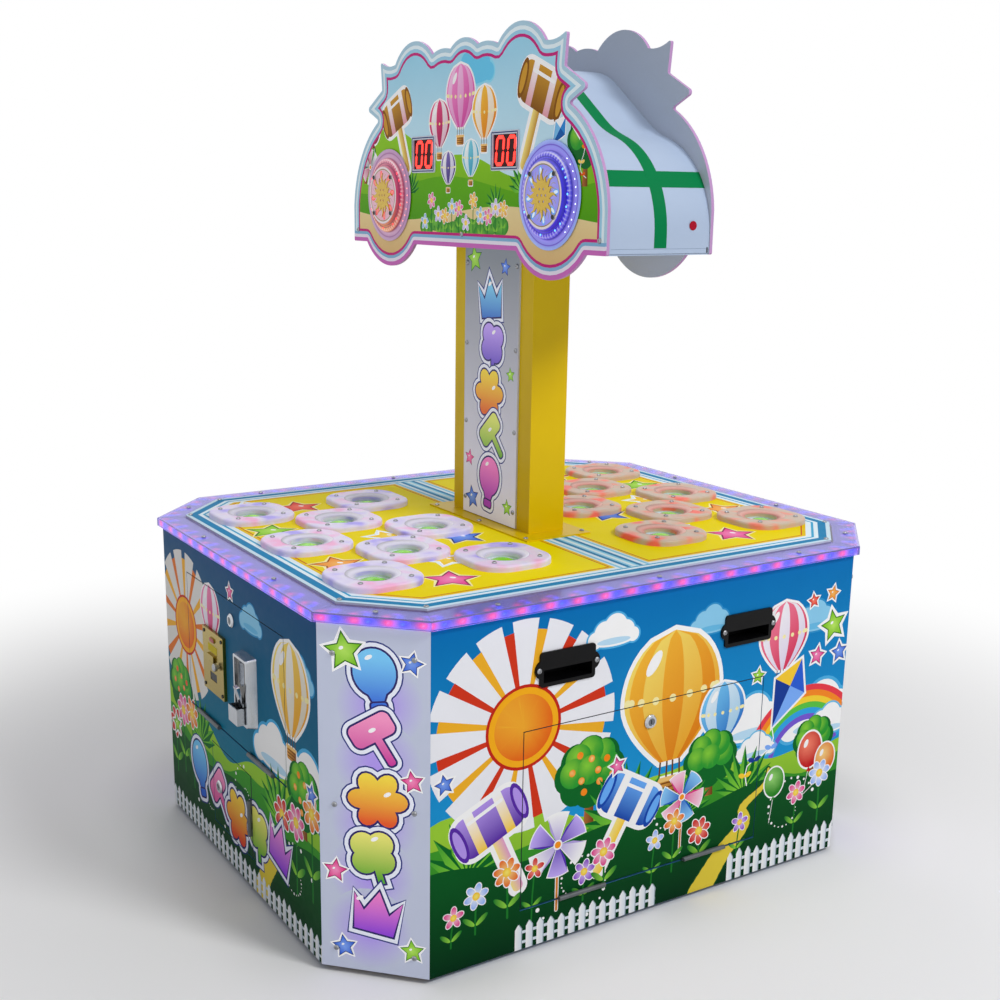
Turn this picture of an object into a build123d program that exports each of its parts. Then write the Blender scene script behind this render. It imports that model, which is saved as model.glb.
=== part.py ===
from build123d import *
import math
import os

os.makedirs("parts", exist_ok=True)

# Overall width, measured over the lit rim, which is the widest part
WIDTH = 850.0
CORNER_LEG = 116.5

# Cabinet walls
FOOT_HEIGHT = 9.0
FOOT_RADIUS = 19.0
FOOT_INSET = 70.0
PANEL_HEIGHT = 511.8
PANEL_T = 15.0
RIM_OVERHANG = 8.4
CORNER_T = 5.0
CORNER_SCREW_INSET = 22.0
CORNER_SCREW_END = 30.0
BASE_T = 18.0
POST_WIDTH = 25.0
POST_INSET = 27.0
POST_BLOCK = 18.0
BATTEN_T = 8.0
RAIL_DEPTH = 40.0
TOP_RAIL_WIDTH = 40.0
BOTTOM_RAIL_WIDTH = 20.0

# Deck, printed sheet, lit rim
DECK_T = 18.0
DECK_DROP = 0.2
SHEET_T = 3.0
SEAT_GAP = 0.3
RIM_HEIGHT = 13.8
RIM_WIDTH = 44.0
RIM_OUTER_WALL = 4.0
RIM_TOP_WALL = 3.0
RIM_INNER_WALL = 3.0
RIM_ROUND = 2.0
RIM_SCREW_INSET = 20.0
RIM_SCREW_PITCH = 280.0
SHEET_SCREW_INSET = 52.0
RIM_BOSS_RADIUS = 4.3
STRIP_WIDTH = 6.0
STRIP_T = 1.6
STRIP_EDGE = 1.0
WIRE_HOLE = 8.0
CABLE_HOLE_X = 100.0
CABLE_HOLE_Y = 40.0

# Targets: three rows of holes in front of each player
HOLE_PITCH = 222.0
ROW_FIRST = 153.5
ROW_PITCH = 110.2
ROWS = 3
ROW_END = 137.1
HOLE_RADIUS = 27.0
RING_HALF = 65.7
RING_CORNER = 45.7
RING_HEIGHT = 10.0
RING_ROUND = 4.0
DISH_RADIUS = 42.0
DISH_DEPTH = 5.0
RING_SCREW_PITCH = 81.0

# Moles and their drives
MOLE_RADIUS = 25.0
MOLE_DOME = 10.0
MOLE_WALL = 2.5
MOLE_BELOW_LIP = 1.5
MOLE_STROKE = 50.0
MOLE_GRIP = 25.0
ROD_RADIUS = 5.0
CORE_RADIUS = 8.0
CORE_LENGTH = 65.0
BUFFER_RADIUS = 16.0
BUFFER_T = 6.0
GUIDE_PLAY = 0.6
GUIDE_WALL = 2.2
GUIDE_LENGTH = 84.0
GUIDE_FLANGE = 38.0
GUIDE_FLANGE_T = 3.0
COIL_RADIUS = 29.0
COIL_HEIGHT = 70.0
COIL_DROP = 76.0
CORE_PLAY = 0.3
STRAP_T = 3.0
STRAP_WIDTH = 30.0
STRAP_SPAN = 86.0
STRAP_FOOT = 12.0

# Column
COLUMN_X = 233.0
COLUMN_Y = 68.4
COLUMN_T = 2.0
COLUMN_HEIGHT = 454.6
FLANGE_X = 308.6
FLANGE_Y = 125.4
FLANGE_T = 2.5
FLANGE_SCREW_X = 140.0
FLANGE_SCREW_INSET = 7.5
CAP_T = 4.0
SIGN_WIDTH = 162.0
SIGN_T = 3.0
SIGN_LIFT = 1.5
SIGN_SCREW_INSET = 7.0
SIGN_SCREW_END = 26.0
SIGN_SCREWS = 4

# Head
HEAD_WIDTH = 751.0
HEAD_DEPTH = 188.8
BOARD_T = 5.0
BOARD_HEIGHT = 322.7
BUMP_X = 240.0
BUMP_RADIUS = 115.0
BUMP_DROP = 39.0
TIP_ROUND = 3.0
TRAY_T = 2.0
TRAY_FLANGE = 32.0
TRAY_SCREW_RISE = 20.0
TRAY_SCREW_X = 360.0
COVER_T = 2.0
COVER_FLANGE = 12.0
COVER_TOP = 268.0
COVER_CROWN_X = 118.0
COVER_WAIST_X = 245.0
COVER_WAIST_RISE = 174.0
COVER_SHOULDER_RISE = 126.0
COVER_RADII = [110.0, 150.0, 140.0]

# Lamps and score displays on the head
LAMP_RISE = 80.0
LAMP_RADIUS = 77.0
LAMP_BASE_T = 2.0
LAMP_BOWL_RADIUS = 63.0
LAMP_BOWL_HEIGHT = 9.5
LAMP_DISC_RADIUS = 48.0
LAMP_DISC_HEIGHT = 14.0
LAMP_DISC_ROUND = 1.0
LAMP_SCREW_RADIUS = 42.0
SUN_RADIUS = 20.0
SUN_TIP_RADIUS = 37.0
SUN_SHORT_SHARE = 0.82
SUN_BEND = 5.0
SUN_RAYS = 16
SUN_T = 1.5
SUN_HOLE = 1.8
SUN_HOLE_PITCH = 10.0
SCORE_X = 122.0
SCORE_RISE = 145.0
SCORE_WIDTH = 76.0
SCORE_HEIGHT = 58.0
SCORE_BORDER = 5.5
SCORE_PROUD = 2.5
SCORE_CORNER = 4.0
SCORE_ROUND = 1.0
MODULE_DEPTH = 22.0
MODULE_RECESS = 3.0

# Doors, with their welded knuckles
DOOR_GAP = 1.5
DOOR_SILL = 3.0
DOOR_T = 2.0
DOOR_RETURN = 15.0
KNUCKLE_RADIUS = 3.5
KNUCKLE_STANDOFF = 3.8
KNUCKLES = 5
KNUCKLE_GAP = 0.3
PIN_RADIUS = 1.5
PIN_PLAY = 0.05
LEAF_T = 1.5
LEAF_DEPTH = 13.0
SERVICE_WIDTH = 450.0
SERVICE_DROP = 62.0
SERVICE_Y = -15.0
SERVICE_Z = 74.0
SERVICE_HINGE = 84.0
SERVICE_HINGE_Y = 118.0
COIN_WIDTH = 388.0
COIN_DROP = 56.8
COIN_RISE = 39.0
COIN_HINGE = 94.0
COIN_HINGE_X = 107.0
CASH_WIDTH = 139.0
CASH_HEIGHT = 160.0
CASH_X = -23.0
CASH_Z = 60.0
CASH_HINGE = 60.0

# Cam locks
LOCK_EDGE = 29.0
LOCK_FLANGE_RADIUS = 11.0
LOCK_FLANGE_T = 4.0
LOCK_RADIUS = 9.2
LOCK_HOLE_PLAY = 0.3
LOCK_DEPTH = 16.0
PLUG_RADIUS = 6.0
PLUG_PLAY = 0.05
KEYWAY_WIDTH = 1.6
KEYWAY_DEPTH = 3.0
CAM_T = 2.0
CAM_GAP = 0.5
CAM_LENGTH = 38.0
CAM_WIDTH = 14.0

# Coin mechanism on the coin door
ACCEPTOR_X = 66.0
ACCEPTOR_DROP = 6.0
ACCEPTOR_WIDTH = 56.0
ACCEPTOR_HEIGHT = 112.0
ACCEPTOR_PROUD = 16.0
ACCEPTOR_TAPER = 3.0
ACCEPTOR_RIM = 4.0
ACCEPTOR_SINK = 3.0
MECH_WIDTH = 46.0
MECH_HEIGHT = 98.0
MECH_DEPTH = 58.0
RECESS_RADIUS = 11.0
RECESS_LENGTH = 40.0
RECESS_DEPTH = 6.0
RECESS_RISE = 27.0
SLOT_WIDTH = 3.2
SLOT_LENGTH = 28.0
SLOT_DEPTH = 20.0
CUP_WIDTH = 34.0
CUP_HEIGHT = 26.0
CUP_PROUD = 16.0
CUP_WALL = 2.0
LEVER_WIDTH = 14.0
LEVER_LENGTH = 32.0
LEVER_T = 5.0
LEVER_Y = -18.0
LEVER_X = 6.0
LEVER_GAP = 1.0
LEVER_TILT = 16.0
EAR_T = 3.0
EAR_GAP = 0.4
METER_X = -72.0
METER_WIDTH = 87.0
METER_HEIGHT = 104.0
METER_PROUD = 5.5
METER_T = 1.5
METER_BAR_RISE = 38.0
METER_BAR_LENGTH = 20.0
METER_BAR_RADIUS = 4.0
METER_WINDOW_X = 28.0
METER_WINDOW_Z = 14.0
METER_WINDOW_DROP = 24.0
METER_SLOT_X = 38.0
METER_SLOT_Z = 3.0
METER_RECESS = 0.8
BUTTON_RADIUS = 6.5
BUTTON_PROUD = 9.0
BUTTON_TRAVEL = 3.0
BUTTON_X = 22.0
STEM_RADIUS = 3.0
STEM_PLAY = 0.3
COLLAR_RADIUS = 5.0
COLLAR_T = 2.0

# Lift handles
HANDLE_Y = 170.0
HANDLE_DROP = 87.3
HANDLE_WIDTH = 95.0
HANDLE_HEIGHT = 51.0
HANDLE_EAR = 8.0
HANDLE_T = 3.0
HANDLE_CORNER = 5.0
CUP_INSET = 4.0
HANDLE_DEPTH = 32.0
HANDLE_WALL = 2.0
HANDLE_LIP = 20.0
HANDLE_FIT = 0.5

# Pieces inside the cabinet
BOARD_X = -170.0
BOARD_Y = 120.0
PCB_WIDTH = 200.0
PCB_DEPTH = 140.0
PCB_T = 1.6
STANDOFF_RADIUS = 4.0
STANDOFF_HEIGHT = 10.0
STANDOFF_INSET = 10.0
CHIP_SIZE = 30.0
CHIP_T = 4.0
RELAY_SIZE = 18.0
RELAY_HEIGHT = 15.0
RELAY_PITCH = 22.0
RELAYS = 8
SUPPLY_X = 170.0
SUPPLY_Y = 120.0
SUPPLY_WIDTH = 115.0
SUPPLY_DEPTH = 215.0
SUPPLY_HEIGHT = 50.0
SUPPLY_EAR = 14.0
SUPPLY_EAR_T = 2.0
CASH_BOX_DEPTH = 140.0
CASH_BOX_HEIGHT = 110.0
CASH_BOX_WALL = 1.5
CASH_BOX_SETBACK = 6.0
SPEAKER_X = 200.0
SPEAKER_RADIUS = 45.0
SPEAKER_FLANGE_T = 3.0
SPEAKER_CONE = 24.0
MAGNET_RADIUS = 26.0
MAGNET_T = 14.0
GRILLE_HOLE = 3.0
GRILLE_PITCH = 11.0
GRILLE_REACH = 34.0

# Mains inlet with its rocker switch
INLET_Y = 330.0
INLET_Z = 105.0
INLET_WIDTH = 31.0
INLET_HEIGHT = 54.0
INLET_T = 2.5
INLET_BODY_INSET = 2.5
INLET_DEPTH = 28.0
SOCKET_WIDTH = 22.0
SOCKET_HEIGHT = 15.0
SOCKET_DEPTH = 16.0
SOCKET_Z = -12.0
BLADE_SIZE = 2.0
BLADE_LENGTH = 10.0
BLADE_PITCH = 7.0
ROCKER_RADIUS = 9.5
ROCKER_WIDTH = 12.0
ROCKER_Z = 13.0
ROCKER_PLAY = 0.5
ROCKER_TILT = 8.0
ROCKER_SINK = 5.0
ROCKER_PIN = 1.5

# Pan-head screws
SCREW_RADIUS = 2.0
SCREW_HEAD = 3.9
SCREW_HEAD_T = 2.4
SCREW_PLAY = 0.25
SCREW_LONG = 24.0
SCREW_SHORT = 10.0
CROSS_WIDTH = 0.9
CROSS_LENGTH = 4.0
CROSS_DEPTH = 1.0

# One overrun serves all cuts
OVER = 5.0

# Depth over the rim, from the rows of targets in front of both players
DEPTH = 2 * (ROW_FIRST + (ROWS - 1) * ROW_PITCH + ROW_END)

# Heights above the floor that several pieces share
PANEL_BOTTOM = FOOT_HEIGHT
PANEL_TOP = FOOT_HEIGHT + PANEL_HEIGHT
BASE_TOP = PANEL_BOTTOM + BASE_T
RIM_TOP = PANEL_TOP + RIM_HEIGHT
DECK_TOP = RIM_TOP - DECK_DROP
DECK_BOTTOM = DECK_TOP - DECK_T
SHEET_TOP = DECK_TOP + SHEET_T
RING_TOP = SHEET_TOP + RING_HEIGHT
LIP_TOP = RING_TOP - DISH_DEPTH
TRAY_BOTTOM = SHEET_TOP + COLUMN_HEIGHT
COIL_TOP = DECK_BOTTOM - COIL_DROP
HANDLE_Z = PANEL_TOP - HANDLE_DROP
SERVICE_HEIGHT = HANDLE_Z - HANDLE_HEIGHT / 2 - SERVICE_DROP - SERVICE_Z
COIN_Z = CASH_Z + CASH_WIDTH + COIN_RISE
COIN_HEIGHT = PANEL_TOP - COIN_DROP - COIN_Z
ACCEPTOR_Z = COIN_Z + COIN_HEIGHT / 2 - ACCEPTOR_DROP
METER_Z = ACCEPTOR_Z

# Half sizes that several pieces share
FACE_X = WIDTH / 2 - RIM_OVERHANG
FACE_Y = DEPTH / 2 - RIM_OVERHANG
DECK_INSET = RIM_WIDTH + SEAT_GAP
BOARD_Y_BACK = HEAD_DEPTH / 2 - BOARD_T
ACCEPTOR_FACE = ACCEPTOR_PROUD - ACCEPTOR_SINK

# The coin cup reaches past the rim, and half of that puts the origin under the middle of everything
ORIGIN_SHIFT = (FACE_Y + ACCEPTOR_FACE + CUP_PROUD - DEPTH / 2) / 2

# The octagon's sides, counted anticlockwise from +X
LONG_SIDES = (0, 2, 4, 6)
CORNER_SIDES = (1, 3, 5, 7)

# Half outline of a head board: shares of its half width and of its height, from the top centre down
TOP_SHARES = {
    "hump": (0.0, 0.977),
    "hump_end": (0.107, 0.936),
    "step": (0.176, 0.944),
    "valley": (0.256, 0.924),
    "peak": (0.443, 1.0),
    "peak_end": (0.584, 0.905),
    "hollow": (0.65, 0.902),
    "spike": (0.722, 0.931),
    "notch": (0.709, 0.787),
    "ear_top": (0.832, 0.712),
    "ear": (0.841, 0.698),
    "ear_end": (0.832, 0.682),
    "cheek": (0.741, 0.634),
    "shoulder": (0.903, 0.481),
    "side": (1.0, 0.19),
}


def save(node, *pieces):
    """Writes one node's solids to its STEP file."""
    shift = Location((0, ORIGIN_SHIFT, 0))
    solids = [solid.moved(shift) for piece in pieces for solid in piece.solids()]
    export_step(Compound(solids), f"parts/{node}.step")


def slab(x0, x1, y0, y1, z0, z1):
    """A box between two corners."""
    size = (x1 - x0, y1 - y0, z1 - z0)
    return Pos((x0 + x1) / 2, (y0 + y1) / 2, (z0 + z1) / 2) * Box(*size)


def prism(points, z0, z1):
    """A straight solid over a closed polygon."""
    face = make_face(Polyline(*points, close=True))
    return Pos(0, 0, z0) * extrude(face, amount=z1 - z0, dir=(0, 0, 1))


def rod(radius, z0, z1):
    """A round bar along Z."""
    return Pos(0, 0, (z0 + z1) / 2) * Cylinder(radius, z1 - z0)


def turned(points):
    """A solid turned around Z from a closed half section in X and Z."""
    face = make_face(Polyline(*[(r, 0, z) for r, z in points], close=True))
    return revolve(face, Axis.Z)


def octagon(inset):
    """The eight corners of the rim's outline, moved in by a distance, anticlockwise from +X."""
    half_x = WIDTH / 2 - inset
    half_y = DEPTH / 2 - inset
    leg = CORNER_LEG - inset * (2 - math.sqrt(2))
    near_x, near_y = half_x - leg, half_y - leg
    return [
        (half_x, -near_y), (half_x, near_y), (near_x, half_y), (-near_x, half_y),
        (-half_x, near_y), (-half_x, -near_y), (-near_x, -half_y), (near_x, -half_y),
    ]


def wall(side, near, far, z0, z1):
    """One mitred side of the octagon, between two insets."""
    outer, inner = octagon(near), octagon(far)
    end = (side + 1) % len(outer)
    return prism([outer[side], outer[end], inner[end], inner[side]], z0, z1)


def corner_plane(side, inset, z):
    """A plane on the middle of a side, with its normal pointing out of the cabinet."""
    points = octagon(inset)
    first, last = points[side], points[(side + 1) % len(points)]
    middle = ((first[0] + last[0]) / 2, (first[1] + last[1]) / 2, z)
    along = (last[0] - first[0], last[1] - first[1], 0)
    return Plane(origin=middle, x_dir=along, z_dir=(along[1], -along[0], 0))


def screw(length):
    """A pan-head screw whose head stands on Z = 0 and whose shank runs down."""
    shoulder = SCREW_HEAD - SCREW_HEAD_T / 2
    body = turned([
        (0, -length), (SCREW_RADIUS, -length), (SCREW_RADIUS, 0), (SCREW_HEAD, 0),
        (SCREW_HEAD, SCREW_HEAD_T / 2), (shoulder, SCREW_HEAD_T), (0, SCREW_HEAD_T),
    ])
    arm = Pos(0, 0, SCREW_HEAD_T) * Box(CROSS_LENGTH, CROSS_WIDTH, 2 * CROSS_DEPTH)
    return body - arm - Rot(0, 0, 90) * arm


LONG_SCREW = screw(SCREW_LONG).solid()
SHORT_SCREW = screw(SCREW_SHORT).solid()


def screw_on(point, outward, long=False):
    """A screw with its head on a face at a point."""
    body = LONG_SCREW if long else SHORT_SCREW
    return body.moved(Plane(origin=point, z_dir=outward).location)


def screw_hole(point, outward, depth):
    """The clearance hole of a screw through a plate of a given depth."""
    length = depth + 2 * OVER
    hole = Pos(0, 0, OVER - length / 2) * Cylinder(SCREW_RADIUS + SCREW_PLAY, length)
    return Plane(origin=point, z_dir=outward).location * hole


def target_places():
    """Centres of all holes: three, two and three in front of each player."""
    rows = [(row, (-0.5, 0.5) if row % 2 == 0 else (-1, 0, 1)) for row in range(1, ROWS + 1)]
    half = [
        (share * HOLE_PITCH, ROW_FIRST + (row - 1) * ROW_PITCH)
        for row, shares in rows
        for share in shares
    ]
    return [(x, -y) for x, y in half] + [(-x, y) for x, y in half]


def ring_screw_places():
    """Screw centres of every target ring."""
    reach = RING_SCREW_PITCH / 2
    ways = [(-1, -1), (1, -1), (1, 1), (-1, 1)]
    return [(x + i * reach, y + j * reach) for x, y in target_places() for i, j in ways]


def flange_screw_places():
    """Screw centres of the column's base flange."""
    y = FLANGE_Y / 2 - FLANGE_SCREW_INSET
    return [(i * FLANGE_SCREW_X, j * y) for i in (-1, 0, 1) for j in (-1, 1)]


def rim_screw_places(side):
    """Screw centres on top of one side of the lit rim."""
    points = octagon(RIM_SCREW_INSET)
    first, last = points[side], points[(side + 1) % len(points)]
    length = math.dist(first, last)
    count = max(1, round(length / RIM_SCREW_PITCH))
    shares = [0.5 + (index - (count - 1) / 2) * RIM_SCREW_PITCH / length for index in range(count)]
    return [tuple(a + (b - a) * share for a, b in zip(first, last)) for share in shares]


def base():
    """Base board, its rubber feet and the rails and posts that join the panels."""
    inner = RIM_OVERHANG + PANEL_T
    board = prism(octagon(inner), PANEL_BOTTOM, BASE_TOP)
    save("base_board", board)
    foot = rod(FOOT_RADIUS, 0, FOOT_HEIGHT)
    x, y = FACE_X - FOOT_INSET, FACE_Y - FOOT_INSET - PANEL_T
    save("rubber_feet", *[Pos(i * x, j * y, 0) * foot for i in (-1, 1) for j in (-1, 1)])
    pieces = []
    for side in LONG_SIDES:
        top = inner + TOP_RAIL_WIDTH
        pieces.append(wall(side, inner, top, DECK_BOTTOM - RAIL_DEPTH, DECK_BOTTOM))
        low = inner + BOTTOM_RAIL_WIDTH
        pieces.append(wall(side, inner, low, BASE_TOP, BASE_TOP + RAIL_DEPTH))
    for side in CORNER_SIDES:
        pieces.append(corner_post(side))
    save("frame", *pieces)


def corner_post(side):
    """Battens, top and bottom blocks and back board of one corner's light box, joined."""
    front = RIM_OVERHANG + CORNER_T
    back = RIM_OVERHANG + POST_INSET
    block = wall(side, front, back + BATTEN_T, BASE_TOP, PANEL_TOP)
    plane = corner_plane(side, front, (BASE_TOP + PANEL_TOP) / 2)
    points = octagon(front)
    width = math.dist(points[side], points[(side + 1) % len(points)]) - 2 * POST_WIDTH
    height = PANEL_TOP - BASE_TOP - 2 * POST_BLOCK
    return block - plane.location * Box(width, height, 2 * (back - front))


def door_opening(width, height):
    """The hole a door needs, in the door's own frame."""
    reach = PANEL_T + 2 * OVER
    return slab(-width / 2 - DOOR_GAP, width / 2 + DOOR_GAP, -OVER, reach - OVER,
                -DOOR_SILL, height + DOOR_GAP)


def panels():
    """The four printed wooden walls and the four lit corner panels."""
    outer, inner = RIM_OVERHANG, RIM_OVERHANG + PANEL_T
    right, rear, left, front = [
        wall(side, outer, inner, PANEL_BOTTOM, PANEL_TOP) for side in LONG_SIDES
    ]
    right -= service_place() * door_opening(SERVICE_WIDTH, SERVICE_HEIGHT)
    front -= coin_place() * door_opening(COIN_WIDTH, COIN_HEIGHT)
    front -= cash_place() * door_opening(CASH_WIDTH, CASH_HEIGHT)
    for place in handle_places():
        cut = place * handle_cup(HANDLE_FIT)
        right -= cut
        left -= cut
    left -= inlet_place() * inlet_body(HANDLE_FIT)
    save("side_panels", right, left)
    save("end_panels", front, rear)
    plates = []
    for side in CORNER_SIDES:
        plate = wall(side, outer, outer + CORNER_T, PANEL_BOTTOM, PANEL_TOP)
        for point, way in corner_screw_places(side):
            plate -= screw_hole(point, way, CORNER_T)
        plates.append(plate)
    save("corner_panels", *plates)


def corner_screw_places(side):
    """Screw points and outward direction on one corner panel."""
    face = octagon(RIM_OVERHANG)
    width = math.dist(face[side], face[(side + 1) % len(face)])
    reach = width / 2 - CORNER_SCREW_INSET
    low = PANEL_BOTTOM + CORNER_SCREW_END
    high = PANEL_TOP - CORNER_SCREW_END - RIM_HEIGHT
    places = []
    for z in (low, (low + high) / 2, high):
        plane = corner_plane(side, RIM_OVERHANG, z)
        for way in (-1, 1):
            places.append((plane.from_local_coords((way * reach, 0, 0)), plane.z_dir))
    return places


def light_strips():
    """Light strips under the rim and on the back boards of the corner light boxes."""
    strips = []
    near = RIM_OVERHANG + STRIP_EDGE
    for side in range(len(octagon(0))):
        strips.append(wall(side, near, near + STRIP_WIDTH, PANEL_TOP, PANEL_TOP + STRIP_T))
    for side in CORNER_SIDES:
        low, high = BASE_TOP + RAIL_DEPTH, PANEL_TOP - RAIL_DEPTH
        plane = corner_plane(side, RIM_OVERHANG + POST_INSET, (low + high) / 2)
        body = Pos(0, 0, STRIP_T / 2) * Box(STRIP_WIDTH, high - low, STRIP_T)
        strips.append(plane.location * body)
    save("light_strips", *strips)


def deck():
    """The wooden deck and the printed sheet on it, with holes for the moles."""
    guide = MOLE_RADIUS + GUIDE_PLAY + GUIDE_WALL + SEAT_GAP
    board = Sketch() + make_face(Polyline(*octagon(DECK_INSET), close=True))
    board -= Sketch() + [Pos(x, y) * Circle(guide) for x, y in target_places()]
    board -= Rectangle(CABLE_HOLE_X, CABLE_HOLE_Y)
    save("deck_board", Pos(0, 0, DECK_BOTTOM) * extrude(board, amount=DECK_T))
    sheet = Sketch() + make_face(Polyline(*octagon(DECK_INSET), close=True))
    sheet -= Sketch() + [Pos(x, y) * Circle(HOLE_RADIUS) for x, y in target_places()]
    places = ring_screw_places() + flange_screw_places() + octagon(SHEET_SCREW_INSET)
    sheet -= Sketch() + [Pos(x, y) * Circle(SCREW_RADIUS + SCREW_PLAY) for x, y in places]
    sheet -= Rectangle(CABLE_HOLE_X, CABLE_HOLE_Y)
    save("playfield_sheet", Pos(0, 0, DECK_TOP) * extrude(sheet, amount=SHEET_T))


def rim():
    """Clear channel mouldings around the deck, one to each side, on bosses around their screws."""
    pieces = []
    for side in range(len(octagon(0))):
        body = wall(side, 0, RIM_WIDTH, PANEL_TOP, RIM_TOP)
        plane = corner_plane(side, 0, RIM_TOP)
        top = body.edges().group_by(Axis.Z)[-1]
        outer = top.sort_by(lambda edge: plane.to_local_coords(edge.center()).Z)[-1]
        body = fillet(outer, RIM_ROUND)
        body -= wall(side, RIM_OUTER_WALL, RIM_WIDTH - RIM_INNER_WALL,
                     PANEL_TOP - OVER, RIM_TOP - RIM_TOP_WALL)
        for x, y in rim_screw_places(side):
            body += Pos(x, y, 0) * rod(RIM_BOSS_RADIUS, PANEL_TOP, RIM_TOP - RIM_ROUND)
            body -= screw_hole((x, y, RIM_TOP), (0, 0, 1), RIM_HEIGHT)
        pieces.append(body)
    save("rim", *pieces)


def target_ring():
    """One frosted ring with its dish, hole and screw holes, standing on Z = 0."""
    body = extrude(RectangleRounded(2 * RING_HALF, 2 * RING_HALF, RING_CORNER), amount=RING_HEIGHT)
    body = fillet(body.edges().group_by(Axis.Z)[-1], RING_ROUND)
    lip = RING_HEIGHT - DISH_DEPTH
    dish = turned([
        (0, -OVER), (HOLE_RADIUS, -OVER), (HOLE_RADIUS, lip), (DISH_RADIUS, RING_HEIGHT),
        (DISH_RADIUS, RING_HEIGHT + OVER), (0, RING_HEIGHT + OVER),
    ])
    reach = RING_SCREW_PITCH / 2
    for i in (-1, 1):
        for j in (-1, 1):
            body -= screw_hole((i * reach, j * reach, RING_HEIGHT), (0, 0, 1), RING_HEIGHT)
    return (body - dish).solid()


def mole():
    """Cap and plunger of one mole, at rest, on the axis X = Y = 0."""
    crown = LIP_TOP - MOLE_BELOW_LIP
    bottom = crown - MOLE_STROKE - MOLE_GRIP
    ball = (MOLE_RADIUS ** 2 + MOLE_DOME ** 2) / (2 * MOLE_DOME)
    centre = crown - ball
    bore, boss = MOLE_RADIUS - MOLE_WALL, ROD_RADIUS + MOLE_WALL
    seat = crown - MOLE_WALL
    skirt = seat - MOLE_DOME

    def on_ball(radius, inset):
        return radius, 0, centre + math.sqrt((ball - inset) ** 2 - radius ** 2)

    outside, inside = on_ball(MOLE_RADIUS, 0), on_ball(bore, MOLE_WALL)
    rise_start = on_ball(boss, MOLE_WALL)
    section = Curve() + [
        Polyline((0, 0, seat), (ROD_RADIUS, 0, seat), (ROD_RADIUS, 0, skirt), (boss, 0, skirt), rise_start),
        ThreePointArc(rise_start, on_ball((bore + boss) / 2, MOLE_WALL), inside),
        Polyline(inside, (bore, 0, bottom), (MOLE_RADIUS, 0, bottom), outside),
        ThreePointArc(outside, on_ball(MOLE_RADIUS / 2, 0), (0, 0, crown)),
        Line((0, 0, crown), (0, 0, seat)),
    ]
    cap = revolve(make_face(section), Axis.Z)
    core = COIL_TOP - CORE_LENGTH
    plunger = turned([
        (0, core), (CORE_RADIUS, core), (CORE_RADIUS, COIL_TOP), (BUFFER_RADIUS, COIL_TOP),
        (BUFFER_RADIUS, COIL_TOP + BUFFER_T), (ROD_RADIUS, COIL_TOP + BUFFER_T),
        (ROD_RADIUS, seat), (0, seat),
    ])
    return [cap.solid(), plunger.solid()]


def mole_guide():
    """Flanged sleeve of one mole, let into the deck from below."""
    bore = MOLE_RADIUS + GUIDE_PLAY
    bottom = DECK_TOP - GUIDE_LENGTH
    return turned([
        (bore, bottom), (bore + GUIDE_WALL, bottom),
        (bore + GUIDE_WALL, DECK_BOTTOM - GUIDE_FLANGE_T), (GUIDE_FLANGE, DECK_BOTTOM - GUIDE_FLANGE_T),
        (GUIDE_FLANGE, DECK_BOTTOM), (bore + GUIDE_WALL, DECK_BOTTOM),
        (bore + GUIDE_WALL, DECK_TOP), (bore, DECK_TOP),
    ]).solid()


def mole_drive():
    """Solenoid of one mole in a bracket that hangs from the deck."""
    bottom = COIL_TOP - COIL_HEIGHT
    half = STRAP_SPAN / 2
    body = rod(COIL_RADIUS, bottom, COIL_TOP)
    body += slab(-half, half, -STRAP_WIDTH / 2, STRAP_WIDTH / 2, bottom - STRAP_T, bottom)
    for way in (-1, 1):
        inner, outer = way * (half - STRAP_T), way * half
        low, high = min(inner, outer), max(inner, outer)
        body += slab(low, high, -STRAP_WIDTH / 2, STRAP_WIDTH / 2, bottom - STRAP_T, DECK_BOTTOM)
        end = way * (half + STRAP_FOOT)
        body += slab(min(outer, end), max(outer, end), -STRAP_WIDTH / 2, STRAP_WIDTH / 2,
                     DECK_BOTTOM - STRAP_T, DECK_BOTTOM)
    bore = rod(CORE_RADIUS + CORE_PLAY, COIL_TOP - CORE_LENGTH - CORE_PLAY, COIL_TOP + OVER)
    return (body - bore).solid()


def targets():
    """Rings, moles, guides and drives at every hole."""
    places = [Location((x, y, 0)) for x, y in target_places()]
    ring, guide, drive = target_ring(), mole_guide(), mole_drive()
    lift = Location((0, 0, SHEET_TOP))
    save("target_rings", *[ring.moved(place * lift) for place in places])
    save("mole_guides", *[guide.moved(place) for place in places])
    save("mole_drives", *[drive.moved(place) for place in places])
    pieces = mole()
    for number, place in enumerate(places, 1):
        save(f"mole_{number}", *[piece.moved(place) for piece in pieces])


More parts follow.
